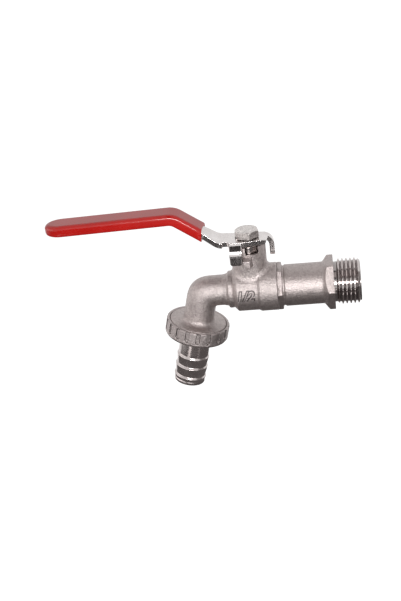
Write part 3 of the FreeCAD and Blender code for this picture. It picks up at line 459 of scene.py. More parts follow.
# neck with a flared foot that follows the housing; the flare is short at front and back, where the
# housing falls away, and the neck a little slimmer there
neck = {"radius": 8, "top": 22.9, "foot": 2.6, "slimmer": 0.5, "shorter": 2.0, "edge": 0.35,
        "sunkShare": 0.9, "sunkDepth": 1.6}
housingLine = roundedLine(castBody["housing"])


def neckRings():
    # the foot stands on the housing, higher by foot * (1 - sqrt(1 - (1 - u)^2)) as the radius grows with u
    turn = fullTurn(castBody["columns"])
    u = np.linspace(1, 0, 14)[:, None]
    n, front = neck, np.sin(turn) ** 2
    flare = n["radius"] - n["slimmer"] * front + (n["foot"] - n["shorter"] * front) * u
    x, y = flare * np.cos(turn), flare * np.sin(turn)
    housing = np.interp(-x, housingLine[:, 0], housingLine[:, 1])
    z = np.sqrt(np.maximum(housing ** 2 - y ** 2, 0.5)) + n["foot"] * (1 - np.sqrt(1 - (1 - u) ** 2))
    foot = np.stack([x, y, z], -1)
    # a first ring inside the housing, where the union hides it
    sunk = foot[:1] * np.array([n["sunkShare"], n["sunkShare"], 1]) - np.array([0, 0, n["sunkDepth"]])
    rise = [(n["radius"], n["top"] - n["edge"]), (n["radius"] - 0.1, n["top"] - 0.1),
            (n["radius"] - n["edge"], n["top"])]
    upper = [np.stack([r * np.cos(turn), r * np.sin(turn), 0 * turn + z], -1)[None] for r, z in rise]
    return onStem(np.concatenate([sunk, foot] + upper))


# stop lug: a rounded block that grows out of the neck below the window
lug = {"left": -2.3, "right": 0.9, "rootLeft": 0.5, "rootRight": 2.5, "reach": -11, "root": -6.6,
       "floor": 14.2, "rootDrop": 1.0, "top": 17.9, "rootTop": 19.2, "edge": 0.35, "rows": 14}


def squareRings(left, right, low, top, y, corner, steps):
    # rounded rectangles in XZ, one for each y; the sides are numbers, or arrays with a number for each y
    a = np.linspace(0, math.pi / 2, steps)
    parts = []
    for sx, sz, start in ((1, 1, 0), (-1, 1, math.pi / 2), (-1, -1, math.pi), (1, -1, 1.5 * math.pi)):
        x = (right if sx > 0 else left) - sx * corner + 0 * y
        z = (top if sz > 0 else low) - sz * corner + 0 * y
        parts.append(np.stack([x[:, None] + corner * np.cos(a + start), y[:, None] + 0 * a,
                               z[:, None] + corner * np.sin(a + start)], -1))
    return onStem(np.concatenate(parts, 1))


def lugRings():
    # wider and taller towards the root; the front rings shrink to round the front face
    g = lug
    depth = np.linspace(0, 1, g["rows"])
    y = g["root"] + (g["reach"] + g["edge"] - g["root"]) * depth
    swell = (1 - depth) ** 2
    left = g["left"] - g["rootLeft"] * swell
    right = g["right"] + (g["rootRight"] - g["right"]) * swell
    low = g["floor"] - g["rootDrop"] * swell
    top = g["top"] + (g["rootTop"] - g["top"]) * swell
    bend = np.linspace(0, math.pi / 2, 6)[1:]
    shrink = g["edge"] * (1 - np.cos(bend))
    y = np.concatenate([y, g["reach"] + g["edge"] * (1 - np.sin(bend))])
    left, right, low, top = (np.concatenate([side, side[-1] + inwards * shrink])
                             for side, inwards in ((left, 1), (right, -1), (low, 1), (top, -1)))
    return squareRings(left, right, low, top, y, g["edge"], 7)


# what is cut out: seats and ball room with the water way, the stem's room and the window; each step is
# (where it starts, radius)
cavity = {"mouth": 10.2, "steps": [(-11, 9.5), (-7.4, 8.6), (4.6, 8.25), (7.4, 5)], "past": 1, "columns": 96}
stemRoom = {"steps": [(0, 5.68), (11.1, 4.58), (14, 6.25), (18.5, 6.8)], "end": 24}
window = {"left": -1.1, "right": 4.8, "sill": 19.5, "top": 26, "corner": 0.5, "front": -12.0, "back": -2.0}


def stepped(steps, end):
    # the line round a stepped bore, where each step holds until the next one starts
    line = [(steps[0][0], thin)]
    for (start, radius), (stop, _) in zip(steps, steps[1:] + [(end, thin)]):
        line += [(start, radius), (stop, radius)]
    return np.array(line + [(end, thin)], float)


def cavityRings():
    cv = cavity
    mouth, end = castBody["housing"][0][0] - cv["past"], spoutDistance(castBody["bossEnd"]) + cv["past"]
    line = stepped([(mouth, cv["mouth"])] + cv["steps"], end)
    return sweptRings(densified(line, 1.2), cv["columns"], 0.0)


def stemRoomRings():
    return lathe(stepped(stemRoom["steps"], stemRoom["end"]), cavity["columns"], aboutStem)


def windowRings():
    w = window
    y = np.array([w["front"], w["back"]])
    return squareRings(w["left"], w["right"], w["sill"], w["top"], y, w["corner"], 6)


bodyPiece = ringMesh("castBody", bodyRings(), "castNickel")
grown = {"neck": neckRings(), "lug": lugRings()}
cutOut = {"core": cavityRings(), "room": stemRoomRings(), "window": windowRings()}
for parts, operation in ((grown, "UNION"), (cutOut, "DIFFERENCE")):
    pieces = [ringMesh(name, rings, "castNickel") for name, rings in parts.items()]
    joinMeshes(bodyPiece, pieces, operation)
finishMesh(bodyPiece, "castNickel", 34)
place(bodyPiece, "tap", "cast_brass", ["valve_body"])

# raised size numerals wrapped on the housing, with a low dark foot round each stroke that is painted shade at
# the strokes' bases
numerals = {"text": "1/2", "height": 4.45, "centreX": -2.1, "centreAngle": math.radians(3), "proud": 0.75,
            "bold": 0.0, "shadowBold": 0.075, "shadowProud": 0.1, "sunk": 0.25, "lean": 0.18, "stretch": 1.03,
            "rows": 12}


def textMesh(offset):
    curve = bpy.data.curves.new("numeralsCurve", "FONT")
    curve.body = numerals["text"]
    curve.size = 1
    curve.extrude = 0.5
    curve.offset = offset
    curve.resolution_u = 6
    curve.align_x = "CENTER"
    text = addObject("numeralsText", curve)
    bpy.context.view_layer.update()
    mesh = bpy.data.meshes.new_from_object(text.evaluated_get(bpy.context.evaluated_depsgraph_get()))
    bpy.data.objects.remove(text)
    return mesh


def makeNumerals(name, offset, proud, look):
    mesh = textMesh(offset)
    # cut into low rows, so that long straight strokes can follow the housing's round
    cutter = bmesh.new()
    cutter.from_mesh(mesh)
    heights = [vertex.co.y for vertex in cutter.verts]
    for height in np.linspace(min(heights), max(heights), numerals["rows"] + 1)[1:-1]:
        everything = cutter.verts[:] + cutter.edges[:] + cutter.faces[:]
        bmesh.ops.bisect_plane(cutter, geom=everything, plane_co=(0, height, 0), plane_no=(0, 1, 0))
    cutter.to_mesh(mesh)
    cutter.free()
    co = np.empty(len(mesh.vertices) * 3)
    mesh.vertices.foreach_get("co", co)
    co = co.reshape(-1, 3)
    low, high = co.min(0), co.max(0)
    scale = numerals["height"] / (high[1] - low[1] - 2 * offset)
    v = (co[:, 1] - (low[1] + high[1]) / 2) * scale
    u = (co[:, 0] - (low[0] + high[0]) / 2) * scale * numerals["stretch"] + v * numerals["lean"]
    radius = castBody["housingRadius"] + np.where(co[:, 2] > 0, proud, -numerals["sunk"])
    angle = numerals["centreAngle"] + v / castBody["housingRadius"]
    out = onStem(np.stack([numerals["centreX"] + u, -radius * np.cos(angle), radius * np.sin(angle)], -1))
    mesh.vertices.foreach_set("co", (out * mm).ravel())
    mesh.update()
    piece = addObject(name, mesh)
    finishMesh(piece, look, 30)
    place(piece, "tap", "cast_brass")


makeNumerals("castNumerals", numerals["bold"], numerals["proud"], "numeralNickel")
# the dark foot is painted shade round the strokes
makeNumerals("numeralShadowFoot", numerals["shadowBold"], numerals["shadowProud"], "numeralShadowNickel")


# inlet adapter: radius as a function of place along the axis and turn
adapter = {
    "columns": 180, "collarFlats": 19.1, "hexFlats": 22, "barrel": 9.6, "cone": 12.6, "coneStart": -4.9,
    "coneRun": 2.2, "pitch": 1.814, "crest": 10.47, "depth": 1.16, "threadStart": 1.0, "threadEnd": 12.1,
    "undercut": 9.25, "fade": 0.9, "lead": 1.4, "leadRadius": 9.28, "rowStep": 0.11,
    # rows of (along, radius), from the seat's end round to the bore
    "seat": [(-30.4, 5.2), (-30.4, 9.4), (-25.8, 9.4)],
    # the collar's rows: along, how much lower its flats lie, and the radius that cuts its corners
    "collar": [(-25.75, 0.12, 10.9), (-25.6, 0, 11.0), (-24.1, 0, 11.0), (-23.75, 0, 10.75), (-23.6, 0, 9.62)],
    "groove": [(-23.45, 9.3), (-23.1, 9.18), (-22.8, 9.2), (-22.55, 9.42), (-22.3, 9.57), (-22.1, 9.6)],
    "foot": [(-5.4, 9.62), (-5.05, 9.7), (-4.8, 9.86)],
    "bore": [(12.1, 8.93), (12.1, 6.8), (11.8, 6.5), (-24.8, 6.5), (-26.8, 5.2)],
}


def hexRadius(flats, turn, start=0.0):
    # distance to a hexagon's side at this turn, with a corner at start
    sector = (turn - start) % (math.pi / 3) - math.pi / 6
    return flats / 2 / np.cos(sector)


def threadRows(turn):
    # Whitworth form: rounded crests and roots along a right-hand helix, fading in and out
    ad = adapter
    for x in np.arange(ad["threadStart"], ad["threadEnd"] + 1e-6, ad["rowStep"]):
        phase = (x / ad["pitch"] + turn / (2 * math.pi)) % 1
        wave = np.clip((np.abs(phase * 2 - 1) - 0.3) / 0.6, 0, 1)
        wave = wave * wave * (3 - 2 * wave) * 0.6 + wave * 0.4
        fade = np.clip((x - ad["threadStart"]) / ad["fade"], 0, 1)
        r = ad["undercut"] + (ad["crest"] - ad["depth"] * wave - ad["undercut"]) * fade
        lead = ad["leadRadius"] + (ad["threadEnd"] - x) / ad["lead"] * (ad["crest"] - ad["leadRadius"])
        yield x, np.minimum(r, lead + 0.02)


def adapterRings():
    # the turn is measured from +Y, where a corner lies
    ad = adapter
    turn = fullTurn(ad["columns"])
    collar = hexRadius(ad["collarFlats"], turn)
    big = np.minimum(hexRadius(ad["hexFlats"], turn), ad["cone"])
    crease = ad["coneStart"] + (big - ad["barrel"]) / (ad["cone"] - ad["barrel"]) * ad["coneRun"]
    rows = ad["seat"] + [(x, np.minimum(collar - lower, most)) for x, lower, most in ad["collar"]]
    rows += ad["groove"] + [(x, ad["barrel"]) for x in np.linspace(-21, -6.2, 16)] + ad["foot"]
    rows += [(crease - 0.25 * np.clip((big - 9.9) / 1.5, 0, 1), big - 0.3), (crease + 0.05, big - 0.02),
             (-1.3, big), (-0.18, big), (-0.04, big - 0.06), (0, big - 0.2),
             (0, ad["undercut"]), (ad["threadStart"] - 0.2, ad["undercut"])]
    rows += list(threadRows(turn)) + ad["bore"]
    return lathe(rows, ad["columns"], aboutBarrel)


def paintBeyond(piece, look, fromX):
    # faces whose centre lies beyond fromX (metres) take a second look
    mesh = piece.data
    mesh.materials.append(finish[look])
    centres = np.empty(len(mesh.polygons) * 3)
    mesh.polygons.foreach_get("center", centres)
    mesh.polygons.foreach_set("material_index", (centres.reshape(-1, 3)[:, 0] > fromX).astype(np.int32))


inlet = turnedPiece("inletAdapter", adapterRings(), "barrelNickel", "tap", "turned_brass", "inlet_adapter", 38)
paintBeyond(inlet, "threadNickel", 0.0001)


# lever: strip carried along a bent path

def bentPath(corners, spacing=1.5, arcSteps=12, stops=()):
    # points along a line with round bends, in the XZ plane; each stop on a straight gives two stations
    line = roundedLine(corners, arcSteps, most=1)
    dense = [line[:1]]
    for a, b in zip(line[:-1], line[1:]):
        n = max(1, int(np.linalg.norm(b - a) / spacing))
        shares = list(np.arange(1, n + 1) / n)
        for stop in stops:
            if (a[0] - stop) * (b[0] - stop) < 0 and abs(b[0] - a[0]) > 1:
                shares += [(stop - a[0]) / (b[0] - a[0])] * 2
        dense.append(a + (b - a) * np.array(sorted(shares))[:, None])
    return np.concatenate(dense)


def headings(line):
    step = np.diff(line, axis=0)
    size = np.linalg.norm(step, axis=1)
    # a repeated point takes the heading of the step before it
    for i in np.flatnonzero(size < 1e-9):
        step[i], size[i] = step[i - 1], size[i - 1]
    step = step / size[:, None]
    t = np.concatenate([step[:1], step[:-1] + step[1:], step[-1:]])
    return t / np.linalg.norm(t, axis=1)[:, None]


def stripProfile(half, edge, steps, inset=0.06):
    # out from the side's line and up from the middle, from the lower to the upper face; a point just
    # inside each border keeps the flats' shading flat
    b = np.linspace(-math.pi / 2, 0, steps + 1)
    arc, rise = edge * np.cos(b), -(half - edge) + edge * np.sin(b)
    out = np.concatenate([[-inset], arc, [edge, edge], arc[::-1], [-inset]])
    up = np.concatenate([[-half], rise, [rise[-1] + inset, -rise[-1] - inset], -rise[::-1], [half]])
    return out, up


def stripRings(line, low, high, half, edge, tip=None, steps=4, tipSteps=10, lean=0.0, skew=0.0, stretch=1.0):
    # rings of a strip with rounded edges, between the sides low and high; a tip radius rounds its far end
    # in plan, stretched to an ellipse; lean and skew tilt the first ring's cut in side view and in plan
    tangent = headings(line)
    normal = np.stack([-tangent[:, 1], tangent[:, 0]], -1)
    if (normal[:, 1] < 0).mean() > 0.5:
        normal = -normal
    out, up = stripProfile(half, edge, steps)
    low, high = low + np.zeros(len(line)), high + np.zeros(len(line))
    psi = np.full(len(line), math.pi / 2)
    if tip:
        # the last station repeats while the tip's angle runs to its middle
        psi = np.concatenate([psi, np.linspace(math.pi / 2, 0, tipSteps + 1)[1:]])
        line, tangent, normal, low, high = (np.concatenate([each, np.repeat(each[-1:], tipSteps, 0)])
                                            for each in (line, tangent, normal, low, high))
    core = tip or edge
    side = (core - edge) * np.sin(psi)[:, None] + out * np.sin(psi)[:, None]
    reach = (core - edge) * np.cos(psi)[:, None] + out * np.cos(psi)[:, None]
    reach = np.concatenate([reach, reach[:, ::-1]], 1) * stretch
    height = np.concatenate([up, up[::-1]])
    y = np.concatenate([high[:, None] - core + side, (low[:, None] + core - side)[:, ::-1]], 1)
    reach = reach + (lean * (height - half) - skew * y) * (np.arange(len(psi)) == 0)[:, None]
    x = line[:, :1] + normal[:, :1] * height + tangent[:, :1] * reach
    z = line[:, 1:] + normal[:, 1:] * height + tangent[:, 1:] * reach
    return np.stack([x, y, z], -1)


# low and high give the strip's sides against the distance behind the stem; the front ear has its own
lever = {"half": 1.15, "edge": 0.14, "earBottom": 15.1, "earReach": 10.85, "earBend": 3.85, "earTip": 1.4,
         "earFrom": 8.9, "earBelow": 24.3, "earSides": (1.05, 4.7), "top": 24.35, "bend": 7.15,
         "rise": (-12.868, 24.35), "crest": (-32.341, 38.240), "end": (-86, 36.741), "hole": 4.6,
         "stops": (-2.45, -8.1, -11.3, -12.5, -19.5),
         "lowAt": [-9, 2.45, 8.1, 8.1001, 11.3, 11.3001, 12.5, 19.5, 86],
         "low": [-4.9, -6.9, -6.9, -4.7, -4.7, -6.5, -6.5, -5, -5],
         "highAt": [-9, 12.5, 19.5, 86], "high": [4.7, 6.5, 5, 5]}
sideEar = {"middle": -9.35, "bend": 3.7, "edge": 0.25, "bottom": 15.9, "left": -8.1, "right": -2.45,
           "start": -4.6}


def leverRings():
    lv = lever
    line = bentPath([(lv["earReach"], lv["earBottom"] + lv["earTip"]),
                     (lv["earReach"], lv["top"], lv["earBend"]), (*lv["rise"], lv["bend"]),
                     (*lv["crest"], lv["bend"]), lv["end"]], stops=lv["stops"])
    twice = np.concatenate([[False], np.linalg.norm(np.diff(line, axis=0), axis=1) < 1e-9])
    # the second of two stations at one place counts as just behind it
    behind = 1e-6 * twice - line[:, 0]
    ahead = (line[:, 0] > lv["earFrom"]) & (line[:, 1] < lv["earBelow"])
    low = np.where(ahead, lv["earSides"][0], np.interp(behind, lv["lowAt"], lv["low"]))
    high = np.where(ahead, lv["earSides"][1], np.interp(behind, lv["highAt"], lv["high"]))
    # the rings run from the far end towards the ear, whose tip is rounded
    return onStem(stripRings(line[::-1], low[::-1], high[::-1], lv["half"], lv["edge"], tip=lv["earTip"]))


def sideEarRings():
    se = sideEar
    line = bentPath([(se["start"], lever["top"]), (se["middle"], lever["top"], se["bend"]),
                     (se["middle"], se["bottom"] + lever["earTip"])])
    flat = stripRings(line, se["left"], se["right"], lever["half"], se["edge"], tip=lever["earTip"])
    return onStem(flat[..., [1, 0, 2]])


leverPiece = stripMesh("leverPlate", leverRings(), "leverSteel")
joinMeshes(leverPiece, [stripMesh("sideEar", sideEarRings(), "leverSteel")], "UNION")
stemHole = lathe([(20, thin), (20, lever["hole"]), (27, lever["hole"]), (27, thin)], 64, aboutStem)
joinMeshes(leverPiece, [ringMesh("stemHole", stemHole, "leverSteel")], "DIFFERENCE")
finishMesh(leverPiece, "leverSteel", 34)
place(leverPiece, "lever", "lever_steel", ["lever_plate"])

# grip sleeve: the same path, outside and cavity in one surface
grip = {"start": 9.3, "slant": 0.55, "skew": 0.1, "wall": 1.595, "side": 1.0, "end": 5.24, "edge": 1.8,
        "tip": 5.6, "stretch": 1.4, "gap": 0.05, "innerEdge": 0.3, "rim": 0.25, "leverHalf": 5,
        "measuredFrom": (-12.5, 25.5)}


def gripRings():
    g = grip
    riseFoot, crest, end = (np.array(lever[key]) for key in ("rise", "crest", "end"))
    rise = (crest - riseFoot) / np.linalg.norm(crest - riseFoot)
    begin = np.array(g["measuredFrom"]) + rise * g["start"]
    # the start on the upper face is carried square onto the strip's middle line
    begin = riseFoot + rise * float((begin - riseFoot) @ rise)
    droop = (end - crest) / np.linalg.norm(end - crest)
    far = end + droop * (g["end"] - g["tip"] * g["stretch"])
    top = (*lever["crest"], lever["bend"])

    def sleeve(last, side, wall, edge, **tip):
        line = bentPath([begin, top, last], spacing=2.5, arcSteps=16)
        wide = g["leverHalf"] + side
        return stripRings(line, -wide, wide, lever["half"] + wall, edge, steps=6, lean=g["slant"],
                          skew=g["skew"], **tip)

    outer = sleeve(far, g["side"], g["wall"], g["edge"], tip=g["tip"], tipSteps=14, stretch=g["stretch"])
    inner = sleeve(lever["end"], g["gap"], g["gap"], g["innerEdge"])
    # a small round between the outside and the cut end
    first = outer[0].copy()
    outer[0] += (outer[1] - first) / np.linalg.norm(outer[1] - first, axis=1)[:, None] * g["rim"]
    inward = inner[0] - first
    inset = first + inward * (g["rim"] / np.maximum(np.linalg.norm(inward, axis=1), 0.3))[:, None]
    soft = first + ((outer[0] - first) + (inset - first)) * 0.3
    return onStem(np.concatenate([outer[::-1], soft[None], inset[None], inner]))


gripPiece = stripMesh("gripSleeve", gripRings(), "gripPlastic", sharp=50)
place(gripPiece, "lever", "grip_plastic", ["grip_sleeve"])


# bolt, lock washer and gland nut; top is the radius of a head's flat top, drop the fall of its corners
bolt = {"flats": 10, "low": 25.9, "high": 29.2, "top": 5.0, "drop": 0.5, "turn": -math.radians(16.5),
        "bore": thin, "blunt": 0.05, "dome": 0.04, "columns": 120, "shank": 3, "end": 15.9, "sunk": 0.5}
gland = {"flats": 11.5, "low": 18.9, "high": 22.9, "top": 5.6, "drop": 0.5, "turn": -math.radians(24.3),
         "bore": 4.6, "blunt": 0.34, "columns": 240, "skirt": 6.15, "floor": 17.0}
washer = {"teeth": 18, "perTooth": 12, "toothShare": 0.72, "inner": 3.2, "root": 4.7, "outer": 5.45,
          "low": 25.5, "high": 25.9, "twist": 0.1}


def hexHead(head, edge=0.12):
    # rows from the bore's foot out, up the flats, over the corner chamfer and in to the middle
    turn = fullTurn(head["columns"])
    low, high, top, bore = (head[key] for key in ("low", "high", "top", "bore"))
    corner = head["flats"] / math.sqrt(3)
    side = np.minimum(hexRadius(head["flats"], turn, head["turn"]), corner - head["blunt"])
    crease = high - np.clip((side - top) / (corner - top), 0, 1) * head["drop"]
    rows = [(low, bore), (low, side - edge), (low + edge, side), (crease - edge, side),
            (crease - 0.02, side - 0.04), (high - 0.03, top + 0.02), (high, top - edge)]
    if "dome" in head:
        rows += [(high + head["dome"] * (1 - s * s), (top - edge) * s) for s in (0.85, 0.6, 0.3)]
        rows.append((high + head["dome"], thin))
    else:
        rows += [(high, bore + 0.15), (high - 0.15, bore)]
    return lathe(rows, head["columns"], aboutStem)


def shankRings():
    end, radius, top = bolt["end"], bolt["shank"], bolt["low"] + bolt["sunk"]
    rows = [(end, thin), (end, radius - 0.4), (end + 0.4, radius), (top, radius), (top, thin)]
    return lathe(rows, 64, aboutStem)


def washerRings():
    # plain ring whose outer teeth are cut square and each twisted a little
    w = washer
    columns = w["teeth"] * w["perTooth"]
    phase = (np.arange(columns) % w["perTooth"]) / w["perTooth"]
    tooth = np.clip(np.minimum(phase, w["toothShare"] - phase) * w["perTooth"], 0, 1)
    reach = w["root"] + (w["outer"] - w["root"]) * tooth
    tilt = (phase - w["toothShare"] / 2) * w["twist"] * tooth
    rows = [(w["low"] + 0.02, w["inner"]), (w["low"] + 0.02, w["root"]), (w["low"] + 0.06 + tilt, reach),
            (w["high"] - 0.06 + tilt, reach), (w["high"] - 0.02, w["root"]), (w["high"] - 0.02, w["inner"])]
    return lathe(rows, columns, aboutStem)


def glandRings():
    # the skirt's rows take the place of the head's first ring, so that both are one surface
    g = gland
    skirt = [(g["floor"], g["bore"]), (g["floor"], g["skirt"] - 0.3), (g["floor"] + 0.3, g["skirt"]),
             (g["low"], g["skirt"])]
    return np.concatenate([lathe(skirt, g["columns"], aboutStem), hexHead(g)[1:]])


boltPiece = ringMesh("leverBolt", hexHead(bolt), "boltSteel")
joinMeshes(boltPiece, [ringMesh("shank", shankRings(), "boltSteel")], "UNION")
finishMesh(boltPiece, "boltSteel", 20)
place(boltPiece, "lever", "bolt_steel", ["lever_bolt"])
# the washer takes the darker steel: painted shade under the bolt's head
turnedPiece("lockWasher", washerRings(), "washerShadedSteel", "lever", "bolt_steel", "bolt_washer")
turnedPiece("glandNut", glandRings(), "glandNickel", "tap", "turned_brass", "gland_nut", 20)


# union nut: turned ring whose outer wall has shallow grooves with round lower ends
nut = {
    "grooves": 18, "perGroove": 34, "phase": math.radians(3.8), "radius": 14.8, "grooveHalf": 0.9,
    "grooveTop": 15.35, "grooveEnd": 20.4, "depth": 0.6, "soft": 0.12,
    # distance down the spout, radius, rounding; from the bore over the rim and the lip
    "wall": [(20.9, 13.33), (15.4, 13.33), (15.1, 13.63), (15.1, 14.38, 0.1), (15.52, 14.8, 0.3),
             (21.3, 14.8, 0.35), (22.2, 14.25, 0.25), (22.2, 7.7), (22, 7.5), (20.9, 7.5)],
}


def nutRings():
    n = nut
    turn = fullTurn(n["grooves"] * n["perGroove"])
    wall = roundedLine(n["wall"], 4)
    # short steps along the outer wall, where the grooves lie
    first, last = np.flatnonzero(wall[:, 1] > n["radius"] - 0.02)[[0, -1]]
    wall = np.concatenate([wall[:first], densified(wall[first:last + 1], 0.14), wall[last + 1:]])
    s, r = wall[:, :1], wall[:, 1:] + 0 * turn
    sector = 2 * math.pi / n["grooves"]
    sideways = (((turn - n["phase"] + sector / 2) % sector) - sector / 2) * n["radius"]
    # distance from a slot with a round lower end and a squarer upper end
    below = np.maximum(s - (n["grooveEnd"] - n["grooveHalf"]), 0)
    above = n["grooveTop"] - s
    distance = np.maximum(np.hypot(sideways, below) - n["grooveHalf"], above)
    cut = np.clip(0.5 - distance / (2 * n["soft"]), 0, 1)
    cut = cut * cut * (3 - 2 * cut)
    floor = n["radius"] - n["depth"]
    r = np.where(r > floor, r - (r - floor) * cut, r)
    return onSpout(r * np.sin(turn), -r * np.cos(turn), s + 0 * turn)


turnedPiece("unionNut", nutRings(), "nutNickel", "nut", "cast_brass", "union_nut", 45)


# hose tail: flange, plain tube and three barbs with rounded shoulders
tail = {
    # distance down the spout, radius, rounding; a barb's rows are set at each of the barbs' places
    "head": [(20, 5), (20, 12.8), (20.1, 12.9), (20.85, 12.9), (20.85, 7.2, 0.1), (32.05, 7.18, 0.6),
             (32.85, 7.65, 0.45)],
    "barb": [(-0.4, 7.05, 0.6), (0.45, 7.65, 0.45)], "barbs": (37.7, 43.0),
    "foot": [(44.9, 7.1, 0.5), (45.5, 7.25, 0.4), (46.55, 7.25, 0.5), (47.1, 6.15, 0.4), (47.1, 5.2),
             (46.9, 5)], "columns": 144,
}


def tailRings():
    barbs = [(at + s, radius, rounding) for at in tail["barbs"] for s, radius, rounding in tail["barb"]]
    line = roundedLine(tail["head"] + barbs + tail["foot"], 6)
    return lathe(densified(line, 0.6), tail["columns"], onSpout)


turnedPiece("hoseTail", tailRings(), "tailNickel", "tail", "turned_brass", "hose_tail", 40)


# CAD nodes that stay: seals, stem and ball
kept = {"ball": "ballChrome", "stem": "bareBrass", "gland_ring": "bareBrass", "seat_ring_inlet": "sealPlastic",
        "seat_ring_outlet": "sealPlastic", "stem_thrust_washer": "sealPlastic",
        "packing_ring_lower": "sealPlastic", "packing_ring_upper": "sealPlastic",
        "joint_seal_ring": "sealPlastic", "stem_o_ring": "sealRubber", "tail_gasket": "sealRubber"}
for name, look in kept.items():
    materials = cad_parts[name].data.materials
    materials.clear()
    materials.append(finish[look])
print("kept nodes coloured")


# camera at the photograph's angle; lengths in metres, places in the photograph in pixels
view = {"azimuth": math.radians(6.24), "elevation": math.radians(25.27), "roll": math.radians(6.82),
        "distance": 0.6, "pixelsPerMetre": 2170, "wide": 401, "high": 601, "target": (-0.0378, 0, 0),
        "targetPixel": (252.03, 287.49), "focalPixels": 1302, "sensor": 36, "clip": (0.01, 20)}


def makeCamera():
    a, e, roll = view["azimuth"], view["elevation"], view["roll"]
    right = Vector((math.cos(a), math.sin(a), 0))
    forward = Vector((-math.sin(a) * math.cos(e), math.cos(a) * math.cos(e), -math.sin(e)))
    up = right.cross(forward)
    tiltedRight = right * math.cos(roll) - up * math.sin(roll)
    tiltedUp = right * math.sin(roll) + up * math.cos(roll)
    offX = (view["targetPixel"][0] - view["wide"] / 2) / view["pixelsPerMetre"]
    offY = (view["targetPixel"][1] - view["high"] / 2) / view["pixelsPerMetre"]
    at = Vector(view["target"]) - forward * view["distance"] - tiltedRight * offX + tiltedUp * offY
    data = bpy.data.cameras.new("camera")
    data.sensor_width = view["sensor"]
    data.lens = view["sensor"] * view["focalPixels"] / view["high"]
    data.clip_start, data.clip_end = view["clip"]
    camera = addObject("camera", data)
    turn = Matrix((tiltedRight, tiltedUp, -forward)).transposed().to_4x4()
    camera.matrix_world = Matrix.Translation(at) @ turn
    bpy.context.scene.camera = camera


makeCamera()


# light: pale room, one key strip from the front and dark cards that only reflections see; in metres
stage = {"floor": -0.45, "floorSize": 6.0, "floorTint": (0.85, 0.85, 0.85, 1), "floorShine": 0.75,
         "soft": 0.4, "white": 1.0}
rosy, warm, pale = (1, 0.93, 0.92), (1, 0.95, 0.94), (1, 0.97, 0.96)
# centre, half side across, half side upward, colour, strength
cards = {
    "darkTray": ((0, -0.15, -0.12), (0.5, 0, 0), (0, 0.27, 0), rosy, 0.15),
    "tailGlow": ((0.01, -0.137, -0.117), (0.007, 0, 0), (0, 0.03, 0), warm, 1.2),
    "darkPatch": ((-0.05, -0.345, -0.116), (0.19, 0, 0), (0, 0.05, 0), rosy, 0.04),
    "floorGlow": ((-0.004, -0.288, -0.116), (0.03, 0, 0), (0, 0.018, 0), warm, 4.0),
    "boltGlow": ((-0.22, -0.235, -0.116), (0.045, 0, 0), (0, 0.05, 0), pale, 2.3),
    "spotHigh": ((0.014, -0.045, 0.4), (0.022, 0, 0), (0, 0.035, 0), rosy, 0.02),
    "spotLow": ((0.014, -0.3, 0.27), (0.022, 0, 0), (0, 0.03, 0.033), rosy, 0.02),
    "darkSide": ((-0.25, -0.46, -0.07), (0.09, 0, 0), (0, 0, 0.06), rosy, 0.08),
    "darkCeiling": ((0.2, -0.32, 0.5), (0.6, 0, 0), (0, 0.3, 0), rosy, 0.75),
    "darkFront": ((-0.07, -0.15, 0.29), (0.035, 0, 0), (0, -0.17, -0.09), rosy, 0.03),
    "leftGlow": ((-0.75, -0.2, 0.1), (0, 0.35, 0), (0, 0, 0.2), pale, 1.9),
    "rightShade": ((0.75, -0.2, 0.1), (0, 0.35, 0), (0, 0, 0.25), warm, 0.3),
}
keyLight = {"at": (0.01, -0.82, 0.22), "towards": (-0.05, 0, 0), "wide": 0.4, "high": 0.15, "power": 5.1}


def seenBy(node, *kinds):
    # 1 for these kinds of ray, 0 for all others
    rays = node("ShaderNodeLightPath").outputs
    seen = rays[kinds[0]]
    for kind in kinds[1:]:
        seen = combined(node, seen, rays[kind], "MAXIMUM")
    return seen


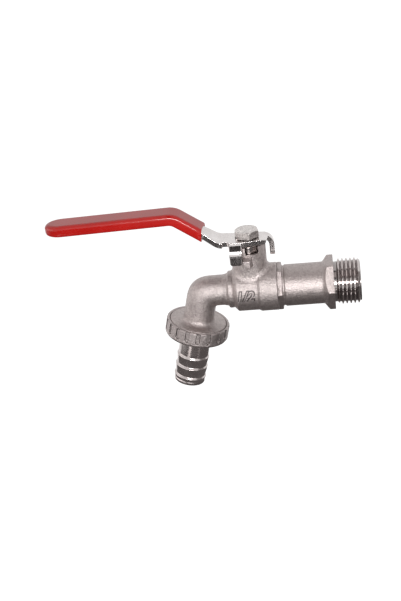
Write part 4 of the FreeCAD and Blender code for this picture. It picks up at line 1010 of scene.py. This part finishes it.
def makeWorld():
    # dimmer for diffuse light than for what the camera, reflections and clear things see
    world = bpy.data.worlds.new("studio")
    world.use_nodes = True
    node = nodesIn(world.node_tree)
    soft, white = (node("ShaderNodeBackground", {0: (1, 1, 1, 1), 1: stage[key]}).outputs[0]
                   for key in ("soft", "white"))
    seen = seenBy(node, "Is Camera Ray", "Is Glossy Ray", "Is Transmission Ray")
    mix = node("ShaderNodeMixShader", {0: seen, 1: soft, 2: white})
    node("ShaderNodeOutputWorld", {0: mix.outputs[0]})
    bpy.context.scene.world = world


def flatPiece(name, centre, across, upward, material):
    # one face of the stage; across and upward are its half sides
    centre, across, upward = (np.array(each, float) for each in (centre, across, upward))
    corners = [tuple(centre + a * across + b * upward) for a, b in ((-1, -1), (1, -1), (1, 1), (-1, 1))]
    mesh = bpy.data.meshes.new(name)
    mesh.from_pydata(corners, [], [(0, 1, 2, 3)])
    mesh.materials.append(material)
    piece = addObject(name, mesh)
    return piece


def makeFloor():
    # white, and shining a little where the camera or a reflection sees it
    size = stage["floorSize"]
    material, node = newMaterial("floorWhite")
    matte = node("ShaderNodeBsdfDiffuse", {0: stage["floorTint"]}).outputs[0]
    shine = node("ShaderNodeEmission", {1: stage["floorShine"]}).outputs[0]
    bright = node("ShaderNodeAddShader", {0: matte, 1: shine}).outputs[0]
    mix = node("ShaderNodeMixShader", {0: seenBy(node, "Is Camera Ray", "Is Glossy Ray"), 1: matte, 2: bright})
    node("ShaderNodeOutputMaterial", {0: mix.outputs[0]})
    flatPiece("floor", (0, 0, stage["floor"]), (size, 0, 0), (0, size, 0), material)


def stageCard(name, centre, across, upward, colour, strength):
    # a glowing or dark card that only reflections see
    material, node = newMaterial(name)
    glow = node("ShaderNodeEmission", {0: (*colour, 1), 1: strength})
    node("ShaderNodeOutputMaterial", {0: glow.outputs[0]})
    card = flatPiece(name, centre, across, upward, material)
    card.visible_camera = card.visible_diffuse = card.visible_shadow = card.visible_transmission = False


def makeKeyLight():
    data = bpy.data.lights.new("key", "AREA")
    data.shape = "RECTANGLE"
    data.size, data.size_y, data.energy = keyLight["wide"], keyLight["high"], keyLight["power"]
    at, towards = Vector(keyLight["at"]), Vector(keyLight["towards"])
    lamp = addObject("key", data)
    lamp.matrix_world = Matrix.Translation(at) @ (towards - at).to_track_quat("-Z", "Y").to_matrix().to_4x4()


makeWorld()
makeFloor()
for name, card in cards.items():
    stageCard(name, *card)
makeKeyLight()
bpy.context.scene.view_settings.view_transform = "Standard"
print("stage made")
